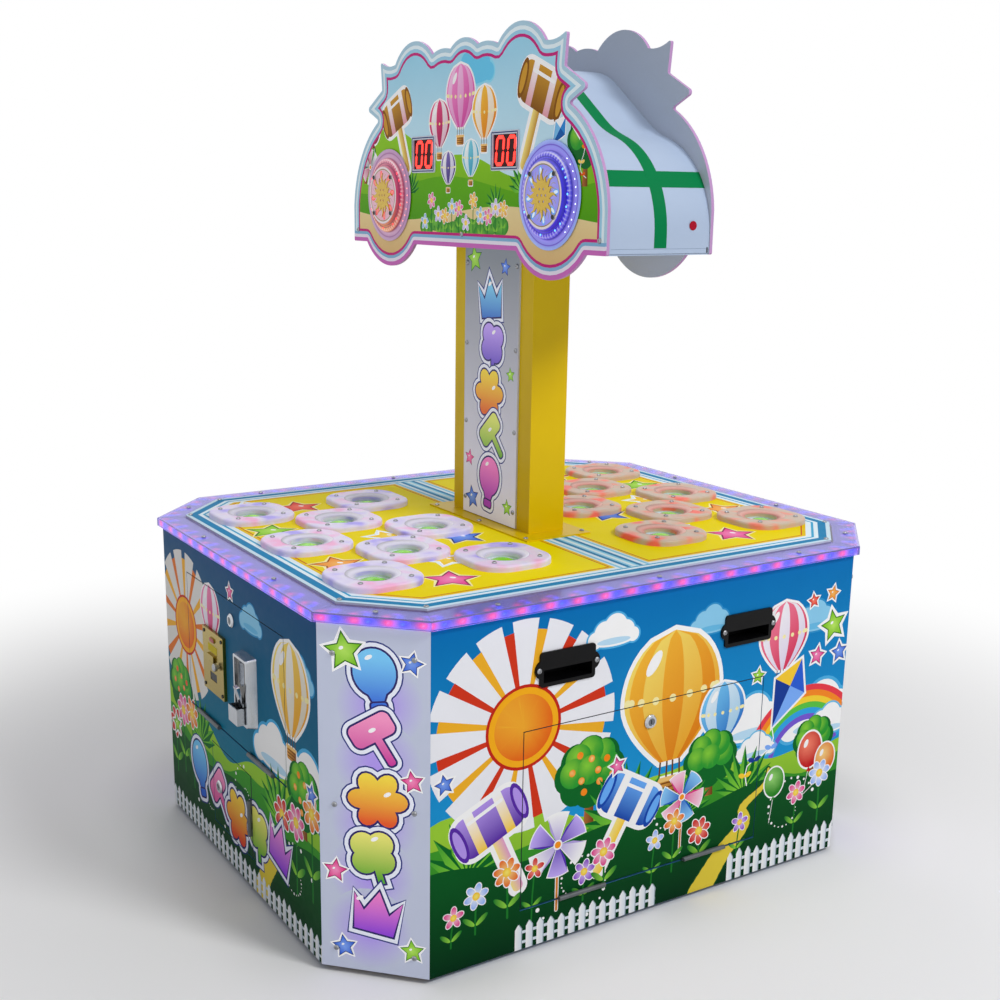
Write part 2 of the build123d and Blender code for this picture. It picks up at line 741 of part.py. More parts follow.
def column():
    """Folded column with its base flange and top cap, and the sign panels on its two faces."""
    low = SHEET_TOP
    high = TRAY_BOTTOM
    tube = extrude(Rectangle(COLUMN_X, COLUMN_Y)
                   - Rectangle(COLUMN_X - 2 * COLUMN_T, COLUMN_Y - 2 * COLUMN_T), amount=high - low)
    cap = extrude(Rectangle(COLUMN_X, COLUMN_Y) - Rectangle(CABLE_HOLE_X, CABLE_HOLE_Y), amount=CAP_T)
    flange = Rectangle(FLANGE_X, FLANGE_Y) - Rectangle(CABLE_HOLE_X, CABLE_HOLE_Y)
    places = flange_screw_places()
    flange -= Sketch() + [Pos(x, y) * Circle(SCREW_RADIUS + SCREW_PLAY) for x, y in places]
    body = Pos(0, 0, low) * (tube + extrude(flange, amount=FLANGE_T))
    body += Pos(0, 0, high - CAP_T) * cap
    save("column", body)
    signs = []
    for way in (-1, 1):
        y0, y1 = way * COLUMN_Y / 2, way * (COLUMN_Y / 2 + SIGN_T)
        sign = slab(-SIGN_WIDTH / 2, SIGN_WIDTH / 2, min(y0, y1), max(y0, y1),
                    low + FLANGE_T + SIGN_LIFT, high - SIGN_LIFT)
        for point, outward in sign_screw_places(way):
            sign -= screw_hole(point, outward, SIGN_T)
        signs.append(sign)
    save("sign_panels", *signs)


def sign_screw_places(way):
    """Screw points along both edges of one sign panel."""
    low = SHEET_TOP + FLANGE_T + SIGN_LIFT + SIGN_SCREW_END
    high = TRAY_BOTTOM - SIGN_LIFT - SIGN_SCREW_END
    x = SIGN_WIDTH / 2 - SIGN_SCREW_INSET
    y = way * (COLUMN_Y / 2 + SIGN_T)
    step = (high - low) / (SIGN_SCREWS - 1)
    return [((i * x, y, low + step * k), (0, way, 0)) for k in range(SIGN_SCREWS) for i in (-1, 1)]


def board_outline():
    """The outline of a head board as a face in X and Z, standing on the tray's height."""
    half, height = HEAD_WIDTH / 2, BOARD_HEIGHT
    point = {k: (x * half, z * height) for k, (x, z) in TOP_SHARES.items()}
    hump = (-point["hump_end"][0], point["hump_end"][1])
    reach = math.sqrt(BUMP_RADIUS ** 2 - (BUMP_RADIUS - BUMP_DROP) ** 2)
    right = [
        ThreePointArc(point["hump_end"], point["step"], point["valley"]),
        ThreePointArc(point["valley"], point["peak"], point["peak_end"]),
        ThreePointArc(point["peak_end"], point["hollow"], point["spike"]),
        Line(point["spike"], point["notch"]),
        Line(point["notch"], point["ear_top"]),
        ThreePointArc(point["ear_top"], point["ear"], point["ear_end"]),
        Line(point["ear_end"], point["cheek"]),
        ThreePointArc(point["cheek"], point["shoulder"], point["side"]),
        Line(point["side"], (half, 0)),
        Line((half, 0), (BUMP_X + reach, 0)),
        ThreePointArc((BUMP_X + reach, 0), (BUMP_X, -BUMP_DROP), (BUMP_X - reach, 0)),
    ]
    left = [edge.mirror(Plane.YZ) for edge in right]
    top = ThreePointArc(hump, point["hump"], point["hump_end"])
    bottom = Line((BUMP_X - reach, 0), (reach - BUMP_X, 0))
    face = make_face(Curve() + [top, bottom] + right + left)
    half_tips = [point["spike"], point["notch"], point["cheek"], (half, 0)]
    tips = half_tips + [(-x, y) for x, y in half_tips]
    corners = [v for v in face.vertices() if any(math.dist((v.X, v.Y), tip) < TIP_ROUND for tip in tips)]
    return fillet(corners, TIP_ROUND)


def head_place(way):
    """Moves a shape drawn in X and Y to stand in front of the head, or behind it turned round."""
    turn = Rot(0, 0, 0) if way < 0 else Rot(0, 0, 180)
    return turn * Pos(0, -HEAD_DEPTH / 2, TRAY_BOTTOM) * Rot(90, 0, 0)


def lamp_places():
    """Lamp centres on a head board, in its own X and Y."""
    return [(-BUMP_X, LAMP_RISE), (BUMP_X, LAMP_RISE)]


def score_places():
    """Display centres on a head board, in its own X and Y."""
    return [(-SCORE_X, SCORE_RISE), (SCORE_X, SCORE_RISE)]


def head_boards():
    """The two printed boards of the head, with windows for the displays and lamp wires."""
    face = board_outline()
    window = Rectangle(SCORE_WIDTH - 2 * SCORE_BORDER, SCORE_HEIGHT - 2 * SCORE_BORDER)
    face -= Sketch() + [Pos(x, y) * window for x, y in score_places()]
    face -= Sketch() + [Pos(x, y) * Circle(WIRE_HOLE) for x, y in lamp_places()]
    screws = [(x, TRAY_SCREW_RISE) for x in (-TRAY_SCREW_X, 0, TRAY_SCREW_X)]
    face -= Sketch() + [Pos(x, y) * Circle(SCREW_RADIUS + SCREW_PLAY) for x, y in screws]
    board = extrude(face, amount=BOARD_T, dir=(0, 0, -1))
    save("head_boards", *[head_place(way) * board for way in (-1, 1)])


def cover_area(inset):
    """The closed section of the head's cover, down to the tray, moved in by a distance."""
    half = HEAD_WIDTH / 2 - TIP_ROUND / 2
    crown, waist, shoulder = COVER_TOP, COVER_WAIST_RISE, COVER_SHOULDER_RISE
    right = [(COVER_CROWN_X, crown), (COVER_WAIST_X, waist), (half, shoulder), (half, 0)]
    path = [(-x, y) for x, y in reversed(right)] + right
    arcs = FilletPolyline(*path, radius=list(reversed(COVER_RADII)) + COVER_RADII)
    face = make_face(Curve() + [arcs, Line(path[-1], path[0])])
    return offset(face, -inset, kind=Kind.INTERSECTION) if inset else face


def head_cover():
    """The bent white cover of the head, with flanges along both edges to carry the boards."""
    length = 2 * (BOARD_Y_BACK - SEAT_GAP)
    outer = cover_area(0)
    shell = extrude(outer - cover_area(COVER_T), amount=length)
    flange = extrude(outer - cover_area(COVER_FLANGE), amount=COVER_T)
    body = shell + flange + Pos(0, 0, length - COVER_T) * flange
    wide = HEAD_WIDTH + 2 * OVER
    foot = TRAY_FLANGE + SEAT_GAP
    room = HEAD_WIDTH - 2 * COVER_T - 2 * TIP_ROUND
    body -= Pos(0, 0, length / 2) * Box(room, 2 * foot, length + OVER)
    body -= Pos(0, -OVER, length / 2) * Box(wide, 2 * OVER + 2 * (TRAY_T + SEAT_GAP), length + OVER)
    body = Pos(0, length / 2, TRAY_BOTTOM) * Rot(90, 0, 0) * body
    save("head_cover", body.solids().sort_by(SortBy.VOLUME)[-1])


def head_tray():
    """The tray under the head, with its flanges, cable hole and speaker grille."""
    half_x, half_y = HEAD_WIDTH / 2 - TIP_ROUND, BOARD_Y_BACK
    low = TRAY_BOTTOM
    body = slab(-half_x, half_x, -half_y, half_y, low, low + TRAY_T)
    inner = half_x - COVER_T - TIP_ROUND
    for way in (-1, 1):
        y0, y1 = way * (half_y - TRAY_T), way * half_y
        body += slab(-inner, inner, min(y0, y1), max(y0, y1), low, low + TRAY_FLANGE)
    body -= Pos(0, 0, low) * Box(CABLE_HOLE_X, CABLE_HOLE_Y, 2 * TRAY_T + OVER)
    steps = range(-int(GRILLE_REACH / GRILLE_PITCH), int(GRILLE_REACH / GRILLE_PITCH) + 1)
    for i in steps:
        for j in steps:
            if math.hypot(i, j) * GRILLE_PITCH < GRILLE_REACH:
                hole = Pos(SPEAKER_X + i * GRILLE_PITCH, j * GRILLE_PITCH, low)
                body -= hole * Cylinder(GRILLE_HOLE, 2 * TRAY_T + OVER)
    save("head_tray", body)


def speaker():
    """Round speaker lying face down on the tray."""
    low = TRAY_BOTTOM + TRAY_T
    neck = low + SPEAKER_FLANGE_T
    body = turned([
        (0, low + SPEAKER_CONE / 2), (SPEAKER_RADIUS - SPEAKER_FLANGE_T, low), (SPEAKER_RADIUS, low),
        (SPEAKER_RADIUS, neck), (MAGNET_RADIUS, low + SPEAKER_CONE),
        (MAGNET_RADIUS, low + SPEAKER_CONE + MAGNET_T), (0, low + SPEAKER_CONE + MAGNET_T),
    ])
    save("speaker", Pos(SPEAKER_X, 0, 0) * body)


def lamp_screw_offsets():
    """Screw centres from the middle of a lamp."""
    reach = LAMP_SCREW_RADIUS / math.sqrt(2)
    return [(i * reach, j * reach) for i in (-1, 1) for j in (-1, 1)]


def lamp_screw_places(way):
    """Screws around the disc of each lamp, as points and an outward direction."""
    places = []
    for x, y in lamp_places():
        for i, j in lamp_screw_offsets():
            moved = head_place(way) * Pos(x + i, y + j, LAMP_DISC_HEIGHT)
            places.append((moved.position, (0, way, 0)))
    return places


def lamp_lens():
    """One clear lamp moulding: flat halo, hollowed ring and raised disc, standing on Z = 0."""
    low, top, disc = LAMP_BASE_T, LAMP_BOWL_HEIGHT, LAMP_DISC_HEIGHT
    middle = (LAMP_BOWL_RADIUS + LAMP_DISC_RADIUS) / 2
    body = turned([
        (0, 0), (LAMP_RADIUS, 0), (LAMP_RADIUS, low), (LAMP_BOWL_RADIUS, low),
        (LAMP_BOWL_RADIUS - low / 2, (low + top) / 2), (LAMP_BOWL_RADIUS - 2 * low, top - low / 2),
        (middle, top), (LAMP_DISC_RADIUS + 2 * low, top - low / 2), (LAMP_DISC_RADIUS + low, top - low),
        (LAMP_DISC_RADIUS + low / 2, disc - LAMP_DISC_ROUND), (LAMP_DISC_RADIUS, disc), (0, disc),
    ])
    for x, y in lamp_screw_offsets():
        body -= screw_hole((x, y, disc), (0, 0, 1), disc)
    return body.solid()


def lamps():
    """Lamps on both head boards, with the perforated gold suns on them."""
    lens, sun = lamp_lens(), sun_plate()
    lenses, suns = [], []
    for way in (-1, 1):
        for x, y in lamp_places():
            lenses.append(head_place(way) * Pos(x, y, 0) * lens)
            suns.append(head_place(way) * Pos(x, y, LAMP_DISC_HEIGHT) * sun)
    save("lamp_lenses", *lenses)
    save("lamp_suns", *suns)


def polar(radius, degrees):
    """A point by its radius and angle."""
    return radius * math.cos(math.radians(degrees)), radius * math.sin(math.radians(degrees))


def sun_plate():
    """A perforated disc with bent flame rays, flat on Z = 0."""
    points = []
    step = 360 / SUN_RAYS
    for ray in range(SUN_RAYS):
        tip = SUN_TIP_RADIUS * (1 if ray % 2 == 0 else SUN_SHORT_SHARE)
        waist = (SUN_RADIUS + tip) / 2
        angle = ray * step
        points.append(polar(SUN_RADIUS, angle - step / 2))
        points.append(polar(waist, angle + SUN_BEND - step / 6))
        points.append(polar(tip, angle - SUN_BEND / 2))
        points.append(polar(waist, angle + SUN_BEND + step / 6))
    face = Sketch() + make_face(Polyline(*points, close=True))
    rise = (math.sqrt(3) / 2) * SUN_HOLE_PITCH
    for j in range(-2, 3):
        for i in range(-2, 3):
            x, y = (i + (j % 2) / 2) * SUN_HOLE_PITCH, j * rise
            if math.hypot(x, y) < SUN_RADIUS - 2 * SUN_HOLE:
                face -= Pos(x, y) * Circle(SUN_HOLE)
    return extrude(face, amount=SUN_T).solid()


def displays():
    """White frames of the score displays and the digit modules behind them."""
    outer = RectangleRounded(SCORE_WIDTH, SCORE_HEIGHT, SCORE_CORNER)
    inner = Rectangle(SCORE_WIDTH - 2 * SCORE_BORDER, SCORE_HEIGHT - 2 * SCORE_BORDER)
    frame = extrude(outer - inner, amount=SCORE_PROUD)
    frame = fillet(frame.faces().sort_by(Axis.Z)[-1].outer_wire().edges(), SCORE_ROUND)
    room = SEAT_GAP
    face = Rectangle(SCORE_WIDTH - 2 * SCORE_BORDER - room, SCORE_HEIGHT - 2 * SCORE_BORDER - room)
    module = Pos(0, 0, SCORE_PROUD - MODULE_RECESS - MODULE_DEPTH) * extrude(face, amount=MODULE_DEPTH)
    frames, modules = [], []
    for way in (-1, 1):
        for x, y in score_places():
            frames.append(head_place(way) * Pos(x, y, 0) * frame)
            modules.append(head_place(way) * Pos(x, y, 0) * module)
    save("score_frames", *frames)
    save("score_modules", *modules)


def service_place():
    """From a door's own frame, facing -Y over its bottom edge, to the +X wall."""
    return Pos(FACE_X, SERVICE_Y, SERVICE_Z) * Rot(0, 0, 90)


def coin_place():
    """From a door's own frame to the coin door's place on the -Y wall."""
    return Pos(0, -FACE_Y, COIN_Z)


def cash_place():
    """From a door's own frame to the cash door, whose hinge stands on its +X edge."""
    return Pos(CASH_X + CASH_HEIGHT / 2, -FACE_Y, CASH_Z + CASH_WIDTH / 2) * Rot(0, -90, 0)


def knuckles(length, moving):
    """Half of a hinge barrel's knuckles on the door's hinge line, centred on X = 0."""
    pitch = length / KNUCKLES
    bar = Rot(0, 90, 0) * Cylinder(KNUCKLE_RADIUS, pitch - KNUCKLE_GAP)
    pieces = []
    for index in range(KNUCKLES):
        if (index % 2 == 1) != moving:
            continue
        x = (index - (KNUCKLES - 1) / 2) * pitch
        knuckle = Pos(x, -KNUCKLE_STANDOFF, 0) * bar
        half = (pitch - KNUCKLE_GAP) / 2
        if moving:
            knuckle += slab(x - half, x + half, -KNUCKLE_STANDOFF, DOOR_T, 0, DOOR_T)
        else:
            knuckle += slab(x - half, x + half, -KNUCKLE_STANDOFF, LEAF_T, -DOOR_SILL, LEAF_T - DOOR_SILL)
        pieces.append(knuckle)
    bore = PIN_RADIUS + (PIN_PLAY if moving else 0)
    hole = Pos(0, -KNUCKLE_STANDOFF, 0) * Rot(0, 90, 0) * Cylinder(bore, length)
    return sum(pieces[1:], pieces[0]) - hole


def fixed_leaf(length):
    """Fixed leaf of a hinge, with its knuckles and pin, lying on the sill of the opening."""
    body = knuckles(length, moving=False)
    body += Pos(0, -KNUCKLE_STANDOFF, 0) * Rot(0, 90, 0) * Cylinder(PIN_RADIUS, length - KNUCKLE_GAP)
    half = (length - KNUCKLE_GAP) / 2
    return body + slab(-half, half, 0, LEAF_DEPTH, -DOOR_SILL, LEAF_T - DOOR_SILL)


def door(width, height, hinge, hinge_places, lock_x):
    """A folded sheet door with welded knuckles and a lock hole, in its own frame."""
    body = slab(-width / 2, width / 2, 0, DOOR_RETURN, 0, height)
    inner = width / 2 - DOOR_T
    body -= slab(-inner, inner, DOOR_T, DOOR_RETURN + OVER, DOOR_T, height - DOOR_T)
    for x in hinge_places:
        body += Pos(x, 0, 0) * knuckles(hinge, moving=True)
    hole = Rot(90, 0, 0) * Cylinder(LOCK_RADIUS + LOCK_HOLE_PLAY, 2 * DOOR_T + OVER)
    return body - Pos(lock_x, 0, height - LOCK_EDGE) * hole


def lock_barrel():
    """Chrome barrel of a cam lock, its flange on the door's face, looking along -Y."""
    bore = PLUG_RADIUS + PLUG_PLAY
    rim_step = LOCK_FLANGE_T / 2
    body = turned([
        (bore, -LOCK_DEPTH), (LOCK_RADIUS, -LOCK_DEPTH), (LOCK_RADIUS, 0), (LOCK_FLANGE_RADIUS, 0),
        (LOCK_FLANGE_RADIUS, rim_step), (LOCK_FLANGE_RADIUS - rim_step, LOCK_FLANGE_T),
        (bore, LOCK_FLANGE_T),
    ])
    return Rot(90, 0, 0) * body


def lock_plug():
    """Turning plug with its keyway and the cam on its back end, cam along -X, looking along -Y."""
    end = LOCK_DEPTH + CAM_GAP + CAM_T
    body = rod(PLUG_RADIUS, -end, LOCK_FLANGE_T - CAM_GAP)
    body -= Pos(0, 0, LOCK_FLANGE_T) * Box(KEYWAY_WIDTH, PLUG_RADIUS, 2 * KEYWAY_DEPTH)
    cam = SlotOverall(CAM_LENGTH + CAM_WIDTH / 2, CAM_WIDTH)
    shift = (CAM_LENGTH - CAM_WIDTH / 2) / 2
    body += Pos(-shift, 0, -end) * extrude(cam, amount=CAM_T)
    return Rot(90, 0, 0) * body


def doors():
    """The three doors with their hinge leaves and cam locks."""
    service_hinges = [-SERVICE_HINGE_Y, SERVICE_HINGE_Y]
    coin_hinges = [-COIN_HINGE_X, COIN_HINGE_X]
    service = door(SERVICE_WIDTH, SERVICE_HEIGHT, SERVICE_HINGE, service_hinges, 0)
    coin = door(COIN_WIDTH, COIN_HEIGHT, COIN_HINGE, coin_hinges, 0)
    cash = door(CASH_WIDTH, CASH_HEIGHT, CASH_HINGE, [0], 0)
    coin -= Pos(ACCEPTOR_X, 0, ACCEPTOR_Z - COIN_Z) * Box(
        MECH_WIDTH + 2 * HANDLE_FIT, 2 * DOOR_T + OVER, MECH_HEIGHT + 2 * HANDLE_FIT)
    stem = Rot(90, 0, 0) * Cylinder(STEM_RADIUS + STEM_PLAY, 2 * DOOR_T + OVER)
    coin -= Pos(METER_X + BUTTON_X, 0, METER_Z - COIN_Z) * stem
    save("service_door", service_place() * service)
    save("coin_door", coin_place() * coin)
    save("cash_door", cash_place() * cash)
    leaves = [service_place() * Pos(x, 0, 0) * fixed_leaf(SERVICE_HINGE) for x in service_hinges]
    leaves += [coin_place() * Pos(x, 0, 0) * fixed_leaf(COIN_HINGE) for x in coin_hinges]
    leaves.append(cash_place() * fixed_leaf(CASH_HINGE))
    save("hinge_leaves", *leaves)
    barrel, plug = lock_barrel(), lock_plug()
    locks = [
        ("service", service_place(), SERVICE_HEIGHT),
        ("coin", coin_place(), COIN_HEIGHT),
        ("cash", cash_place(), CASH_HEIGHT),
    ]
    for name, place, height in locks:
        seat = place * Pos(0, 0, height - LOCK_EDGE)
        save(f"{name}_lock_barrel", seat * barrel)
        save(f"{name}_lock", seat * plug)


def acceptor_frame():
    """Bevelled frame of the coin acceptor with its sunk face and the box of its mechanism."""
    top = (ACCEPTOR_WIDTH - 2 * ACCEPTOR_TAPER, ACCEPTOR_HEIGHT - 2 * ACCEPTOR_TAPER)
    body = loft([
        Plane.XY * RectangleRounded(ACCEPTOR_WIDTH, ACCEPTOR_HEIGHT, ACCEPTOR_TAPER),
        Plane.XY.offset(ACCEPTOR_PROUD) * RectangleRounded(*top, ACCEPTOR_TAPER),
    ])
    sunk = RectangleRounded(top[0] - 2 * ACCEPTOR_RIM, top[1] - 2 * ACCEPTOR_RIM, ACCEPTOR_TAPER)
    body -= Pos(0, 0, ACCEPTOR_FACE) * extrude(sunk, amount=OVER)
    body += Pos(0, 0, -MECH_DEPTH / 2) * Box(MECH_WIDTH, MECH_HEIGHT, MECH_DEPTH)
    recess = SlotOverall(RECESS_LENGTH, 2 * RECESS_RADIUS, rotation=90)
    body -= Pos(0, RECESS_RISE, ACCEPTOR_FACE - RECESS_DEPTH) * extrude(recess, amount=RECESS_DEPTH + OVER)
    slot = extrude(Rectangle(SLOT_WIDTH, SLOT_LENGTH), amount=SLOT_DEPTH + OVER)
    return body - Pos(0, RECESS_RISE, ACCEPTOR_FACE - SLOT_DEPTH) * slot


def return_cup():
    """Open-topped cup at the foot of the acceptor's face."""
    room = Pos(0, CUP_WALL, 0) * Box(CUP_WIDTH - 2 * CUP_WALL, CUP_HEIGHT, CUP_PROUD - 2 * CUP_WALL)
    low = CUP_HEIGHT / 2 - ACCEPTOR_HEIGHT / 2 + ACCEPTOR_TAPER + ACCEPTOR_RIM
    return Pos(0, low, ACCEPTOR_FACE + CUP_PROUD / 2) * (Box(CUP_WIDTH, CUP_HEIGHT, CUP_PROUD) - room)


def lever_ears():
    """Two ears and the pin that carry the return lever."""
    height = LEVER_GAP + LEVER_T
    body = lever_axis() * Rot(0, 90, 0) * Cylinder(PIN_RADIUS, LEVER_WIDTH + 2 * EAR_GAP + EAR_T)
    for way in (-1, 1):
        x = LEVER_X + way * (LEVER_WIDTH / 2 + EAR_GAP + EAR_T / 2)
        body += Pos(x, LEVER_Y, ACCEPTOR_FACE + height / 2) * Box(EAR_T, LEVER_T, height)
    return body


def lever_axis():
    """The return lever's pin, in the acceptor's own frame."""
    return Pos(LEVER_X, LEVER_Y, ACCEPTOR_FACE + LEVER_GAP + LEVER_T / 2)


def acceptor_place():
    """From the acceptor's own frame, facing +Z, to its place on the coin door."""
    return Pos(ACCEPTOR_X, -FACE_Y, ACCEPTOR_Z) * Rot(90, 0, 0)


def acceptor():
    """Chrome coin acceptor and its return lever, whose upper end stands out to be pressed."""
    save("coin_acceptor", acceptor_place() * (acceptor_frame() + return_cup() + lever_ears()))
    paddle = Box(LEVER_WIDTH, LEVER_LENGTH, LEVER_T)
    paddle = fillet(paddle.edges().filter_by(Axis.Z), LEVER_T / 4)
    body = Pos(0, LEVER_LENGTH / 2 - LEVER_T / 2, 0) * paddle
    body -= Rot(0, 90, 0) * Cylinder(PIN_RADIUS + PIN_PLAY, LEVER_WIDTH + OVER)
    save("return_lever", acceptor_place() * lever_axis() * Rot(LEVER_TILT, 0, 0) * body)


def meter():
    """Gold plate beside the acceptor, a shallow tray with a lamp bar, slot, window and button."""
    body = extrude(Rectangle(METER_WIDTH, METER_HEIGHT), amount=METER_PROUD)
    body -= extrude(Rectangle(METER_WIDTH - 2 * METER_T, METER_HEIGHT - 2 * METER_T),
                    amount=METER_PROUD - METER_T)
    bar = SlotOverall(METER_BAR_LENGTH, 2 * METER_BAR_RADIUS)
    body += Pos(0, METER_BAR_RISE, METER_PROUD) * extrude(bar, amount=METER_T)
    slot = (METER_SLOT_X, METER_SLOT_Z, 0)
    window = (METER_WINDOW_X, METER_WINDOW_Z, -METER_WINDOW_DROP)
    for width, height, y in (slot, window):
        cut = extrude(Rectangle(width, height), amount=OVER)
        body -= Pos(0, y, METER_PROUD - METER_RECESS) * cut
    body -= Pos(BUTTON_X, 0, 0) * Cylinder(STEM_RADIUS + STEM_PLAY, 2 * METER_PROUD + OVER)
    place = Pos(METER_X, -FACE_Y, METER_Z) * Rot(90, 0, 0)
    save("meter_plate", place * body)
    base_z = METER_PROUD + BUTTON_TRAVEL + SEAT_GAP
    top = METER_PROUD + BUTTON_PROUD
    back = -DOOR_T - SEAT_GAP
    button = turned([
        (0, back - COLLAR_T), (COLLAR_RADIUS, back - COLLAR_T), (COLLAR_RADIUS, back), (STEM_RADIUS, back),
        (STEM_RADIUS, base_z), (BUTTON_RADIUS, base_z), (BUTTON_RADIUS, top - METER_T),
        (BUTTON_RADIUS - METER_T, top), (0, top),
    ])
    save("meter_button", place * Pos(BUTTON_X, 0, 0) * button)


def handle_places():
    """From a handle's own frame, facing +Z, to its four places on the side walls."""
    places = []
    for way in (-1, 1):
        for y in (-HANDLE_Y, HANDLE_Y):
            places.append(Pos(way * FACE_X, y, HANDLE_Z) * Rot(0, 0, way * 90) * Rot(90, 0, 0))
    return places


def handle_cup(grow):
    """The cup of a lift handle behind its face, grown by a fit."""
    return Pos(0, 0, -HANDLE_DEPTH / 2) * Box(
        HANDLE_WIDTH - 2 * CUP_INSET + 2 * grow, HANDLE_HEIGHT - 2 * CUP_INSET + 2 * grow, HANDLE_DEPTH)


def handle():
    """A recessed lift handle: eared plate, cup, and a lip over its upper half to grip."""
    half, tall = HANDLE_WIDTH / 2, HANDLE_HEIGHT / 2
    plate = RectangleRounded(HANDLE_WIDTH, HANDLE_HEIGHT, HANDLE_CORNER)
    for way in (-1, 1):
        side = [(way * half, tall / 2), (way * (half + HANDLE_EAR), 0), (way * half, -tall / 2)]
        plate += make_face(Curve() + [ThreePointArc(*side), Line(side[2], side[0])])
    body = extrude(plate, amount=HANDLE_T)
    body += handle_cup(0)
    width = HANDLE_WIDTH - 2 * CUP_INSET - 2 * HANDLE_WALL
    height = HANDLE_HEIGHT - 2 * CUP_INSET - 2 * HANDLE_WALL
    depth = HANDLE_DEPTH - HANDLE_WALL
    body -= Pos(0, 0, -depth / 2) * Box(width, height, depth)
    mouth = height - HANDLE_LIP
    body -= Pos(0, mouth / 2 - height / 2, 0) * Box(width, mouth, 2 * HANDLE_T + OVER)
    for x in (-half - HANDLE_EAR / 4, half + HANDLE_EAR / 4):
        body -= screw_hole((x, 0, HANDLE_T), (0, 0, 1), HANDLE_T)
    return body.solid()


def handle_screw_places():
    """Screw points on the ears of all lift handles, with their outward directions."""
    places = []
    for place in handle_places():
        for x in (-1, 1):
            moved = place * Pos(x * (HANDLE_WIDTH / 2 + HANDLE_EAR / 4), 0, HANDLE_T)
            way = 1 if moved.position.X > 0 else -1
            places.append((moved.position, (way, 0, 0)))
    return places


def inside():
    """Control board, power supply and cash box on the base board."""
    board = Pos(0, 0, STANDOFF_HEIGHT + PCB_T / 2) * Box(PCB_WIDTH, PCB_DEPTH, PCB_T)
    x, y = PCB_WIDTH / 2 - STANDOFF_INSET, PCB_DEPTH / 2 - STANDOFF_INSET
    for i in (-1, 1):
        for j in (-1, 1):
            board += Pos(i * x, j * y, 0) * rod(STANDOFF_RADIUS, 0, STANDOFF_HEIGHT)
    top = STANDOFF_HEIGHT + PCB_T
    board += Pos(0, -y / 2, top + CHIP_T / 2) * Box(CHIP_SIZE, CHIP_SIZE, CHIP_T)
    for index in range(RELAYS):
        x = (index - (RELAYS - 1) / 2) * RELAY_PITCH
        board += Pos(x, y / 2, top + RELAY_HEIGHT / 2) * Box(RELAY_SIZE, RELAY_SIZE, RELAY_HEIGHT)
    save("control_board", Pos(BOARD_X, BOARD_Y, BASE_TOP) * board)
    case = Pos(0, 0, SUPPLY_HEIGHT / 2) * Box(SUPPLY_WIDTH, SUPPLY_DEPTH, SUPPLY_HEIGHT)
    ears = Pos(0, 0, SUPPLY_EAR_T / 2) * Box(SUPPLY_WIDTH, SUPPLY_DEPTH + 2 * SUPPLY_EAR, SUPPLY_EAR_T)
    save("power_supply", Pos(SUPPLY_X, SUPPLY_Y, BASE_TOP) * (case + ears))
    width = CASH_HEIGHT - 2 * CASH_BOX_SETBACK
    y0 = -FACE_Y + PANEL_T + BOTTOM_RAIL_WIDTH + CASH_BOX_SETBACK
    box = slab(CASH_X - width / 2, CASH_X + width / 2, y0, y0 + CASH_BOX_DEPTH,
               BASE_TOP, BASE_TOP + CASH_BOX_HEIGHT)
    wall_t = CASH_BOX_WALL
    room = slab(CASH_X - width / 2 + wall_t, CASH_X + width / 2 - wall_t, y0 + wall_t,
                y0 + CASH_BOX_DEPTH - wall_t, BASE_TOP + wall_t, BASE_TOP + CASH_BOX_HEIGHT + OVER)
    save("cash_box", box - room)


def inlet_place():
    """From the inlet's own frame, facing +Z, to its place on the -X wall."""
    return Pos(-FACE_X, INLET_Y, INLET_Z) * Rot(0, 0, -90) * Rot(90, 0, 0)


def inlet_body(grow):
    """The part of the inlet that stands in the wall, grown by a fit."""
    width = INLET_WIDTH - 2 * INLET_BODY_INSET + 2 * grow
    height = INLET_HEIGHT - 2 * INLET_BODY_INSET + 2 * grow
    return Pos(0, 0, -INLET_DEPTH / 2) * Box(width, height, INLET_DEPTH)


def inlet():
    """Mains inlet with a rocker switch above its socket."""
    body = extrude(RectangleRounded(INLET_WIDTH, INLET_HEIGHT, INLET_BODY_INSET), amount=INLET_T)
    body += inlet_body(0)
    body -= Pos(0, SOCKET_Z, INLET_T - SOCKET_DEPTH / 2) * Box(SOCKET_WIDTH, SOCKET_HEIGHT, SOCKET_DEPTH)
    for x, y in ((-BLADE_PITCH, 0), (0, BLADE_SIZE), (BLADE_PITCH, 0)):
        blade = Box(BLADE_SIZE, BLADE_SIZE, BLADE_LENGTH)
        body += Pos(x, SOCKET_Z + y, INLET_T - SOCKET_DEPTH + BLADE_LENGTH / 2) * blade
    reach = ROCKER_RADIUS + ROCKER_PLAY
    width = ROCKER_WIDTH + 2 * ROCKER_PLAY
    body -= Pos(0, ROCKER_Z, 0) * Box(width, 2 * reach, 2 * (ROCKER_SINK + reach))
    pin = Rot(0, 90, 0) * Cylinder(ROCKER_PIN, width + ROCKER_PLAY)
    axis = Pos(0, ROCKER_Z, INLET_T - ROCKER_SINK)
    body += axis * pin
    save("power_inlet", inlet_place() * body)
    drum = Rot(0, 90, 0) * Cylinder(ROCKER_RADIUS, ROCKER_WIDTH)
    for way in (-1, 1):
        plane = Rot(way * 2 * ROCKER_TILT, 0, 0) * Pos(0, way * ROCKER_RADIUS, ROCKER_SINK + ROCKER_RADIUS)
        drum -= plane * Box(2 * ROCKER_WIDTH, 2 * ROCKER_RADIUS, 2 * ROCKER_RADIUS)
    drum -= Rot(0, 90, 0) * Cylinder(ROCKER_PIN + PIN_PLAY, ROCKER_WIDTH + OVER)
    save("power_rocker", inlet_place() * axis * Rot(-ROCKER_TILT, 0, 0) * drum)


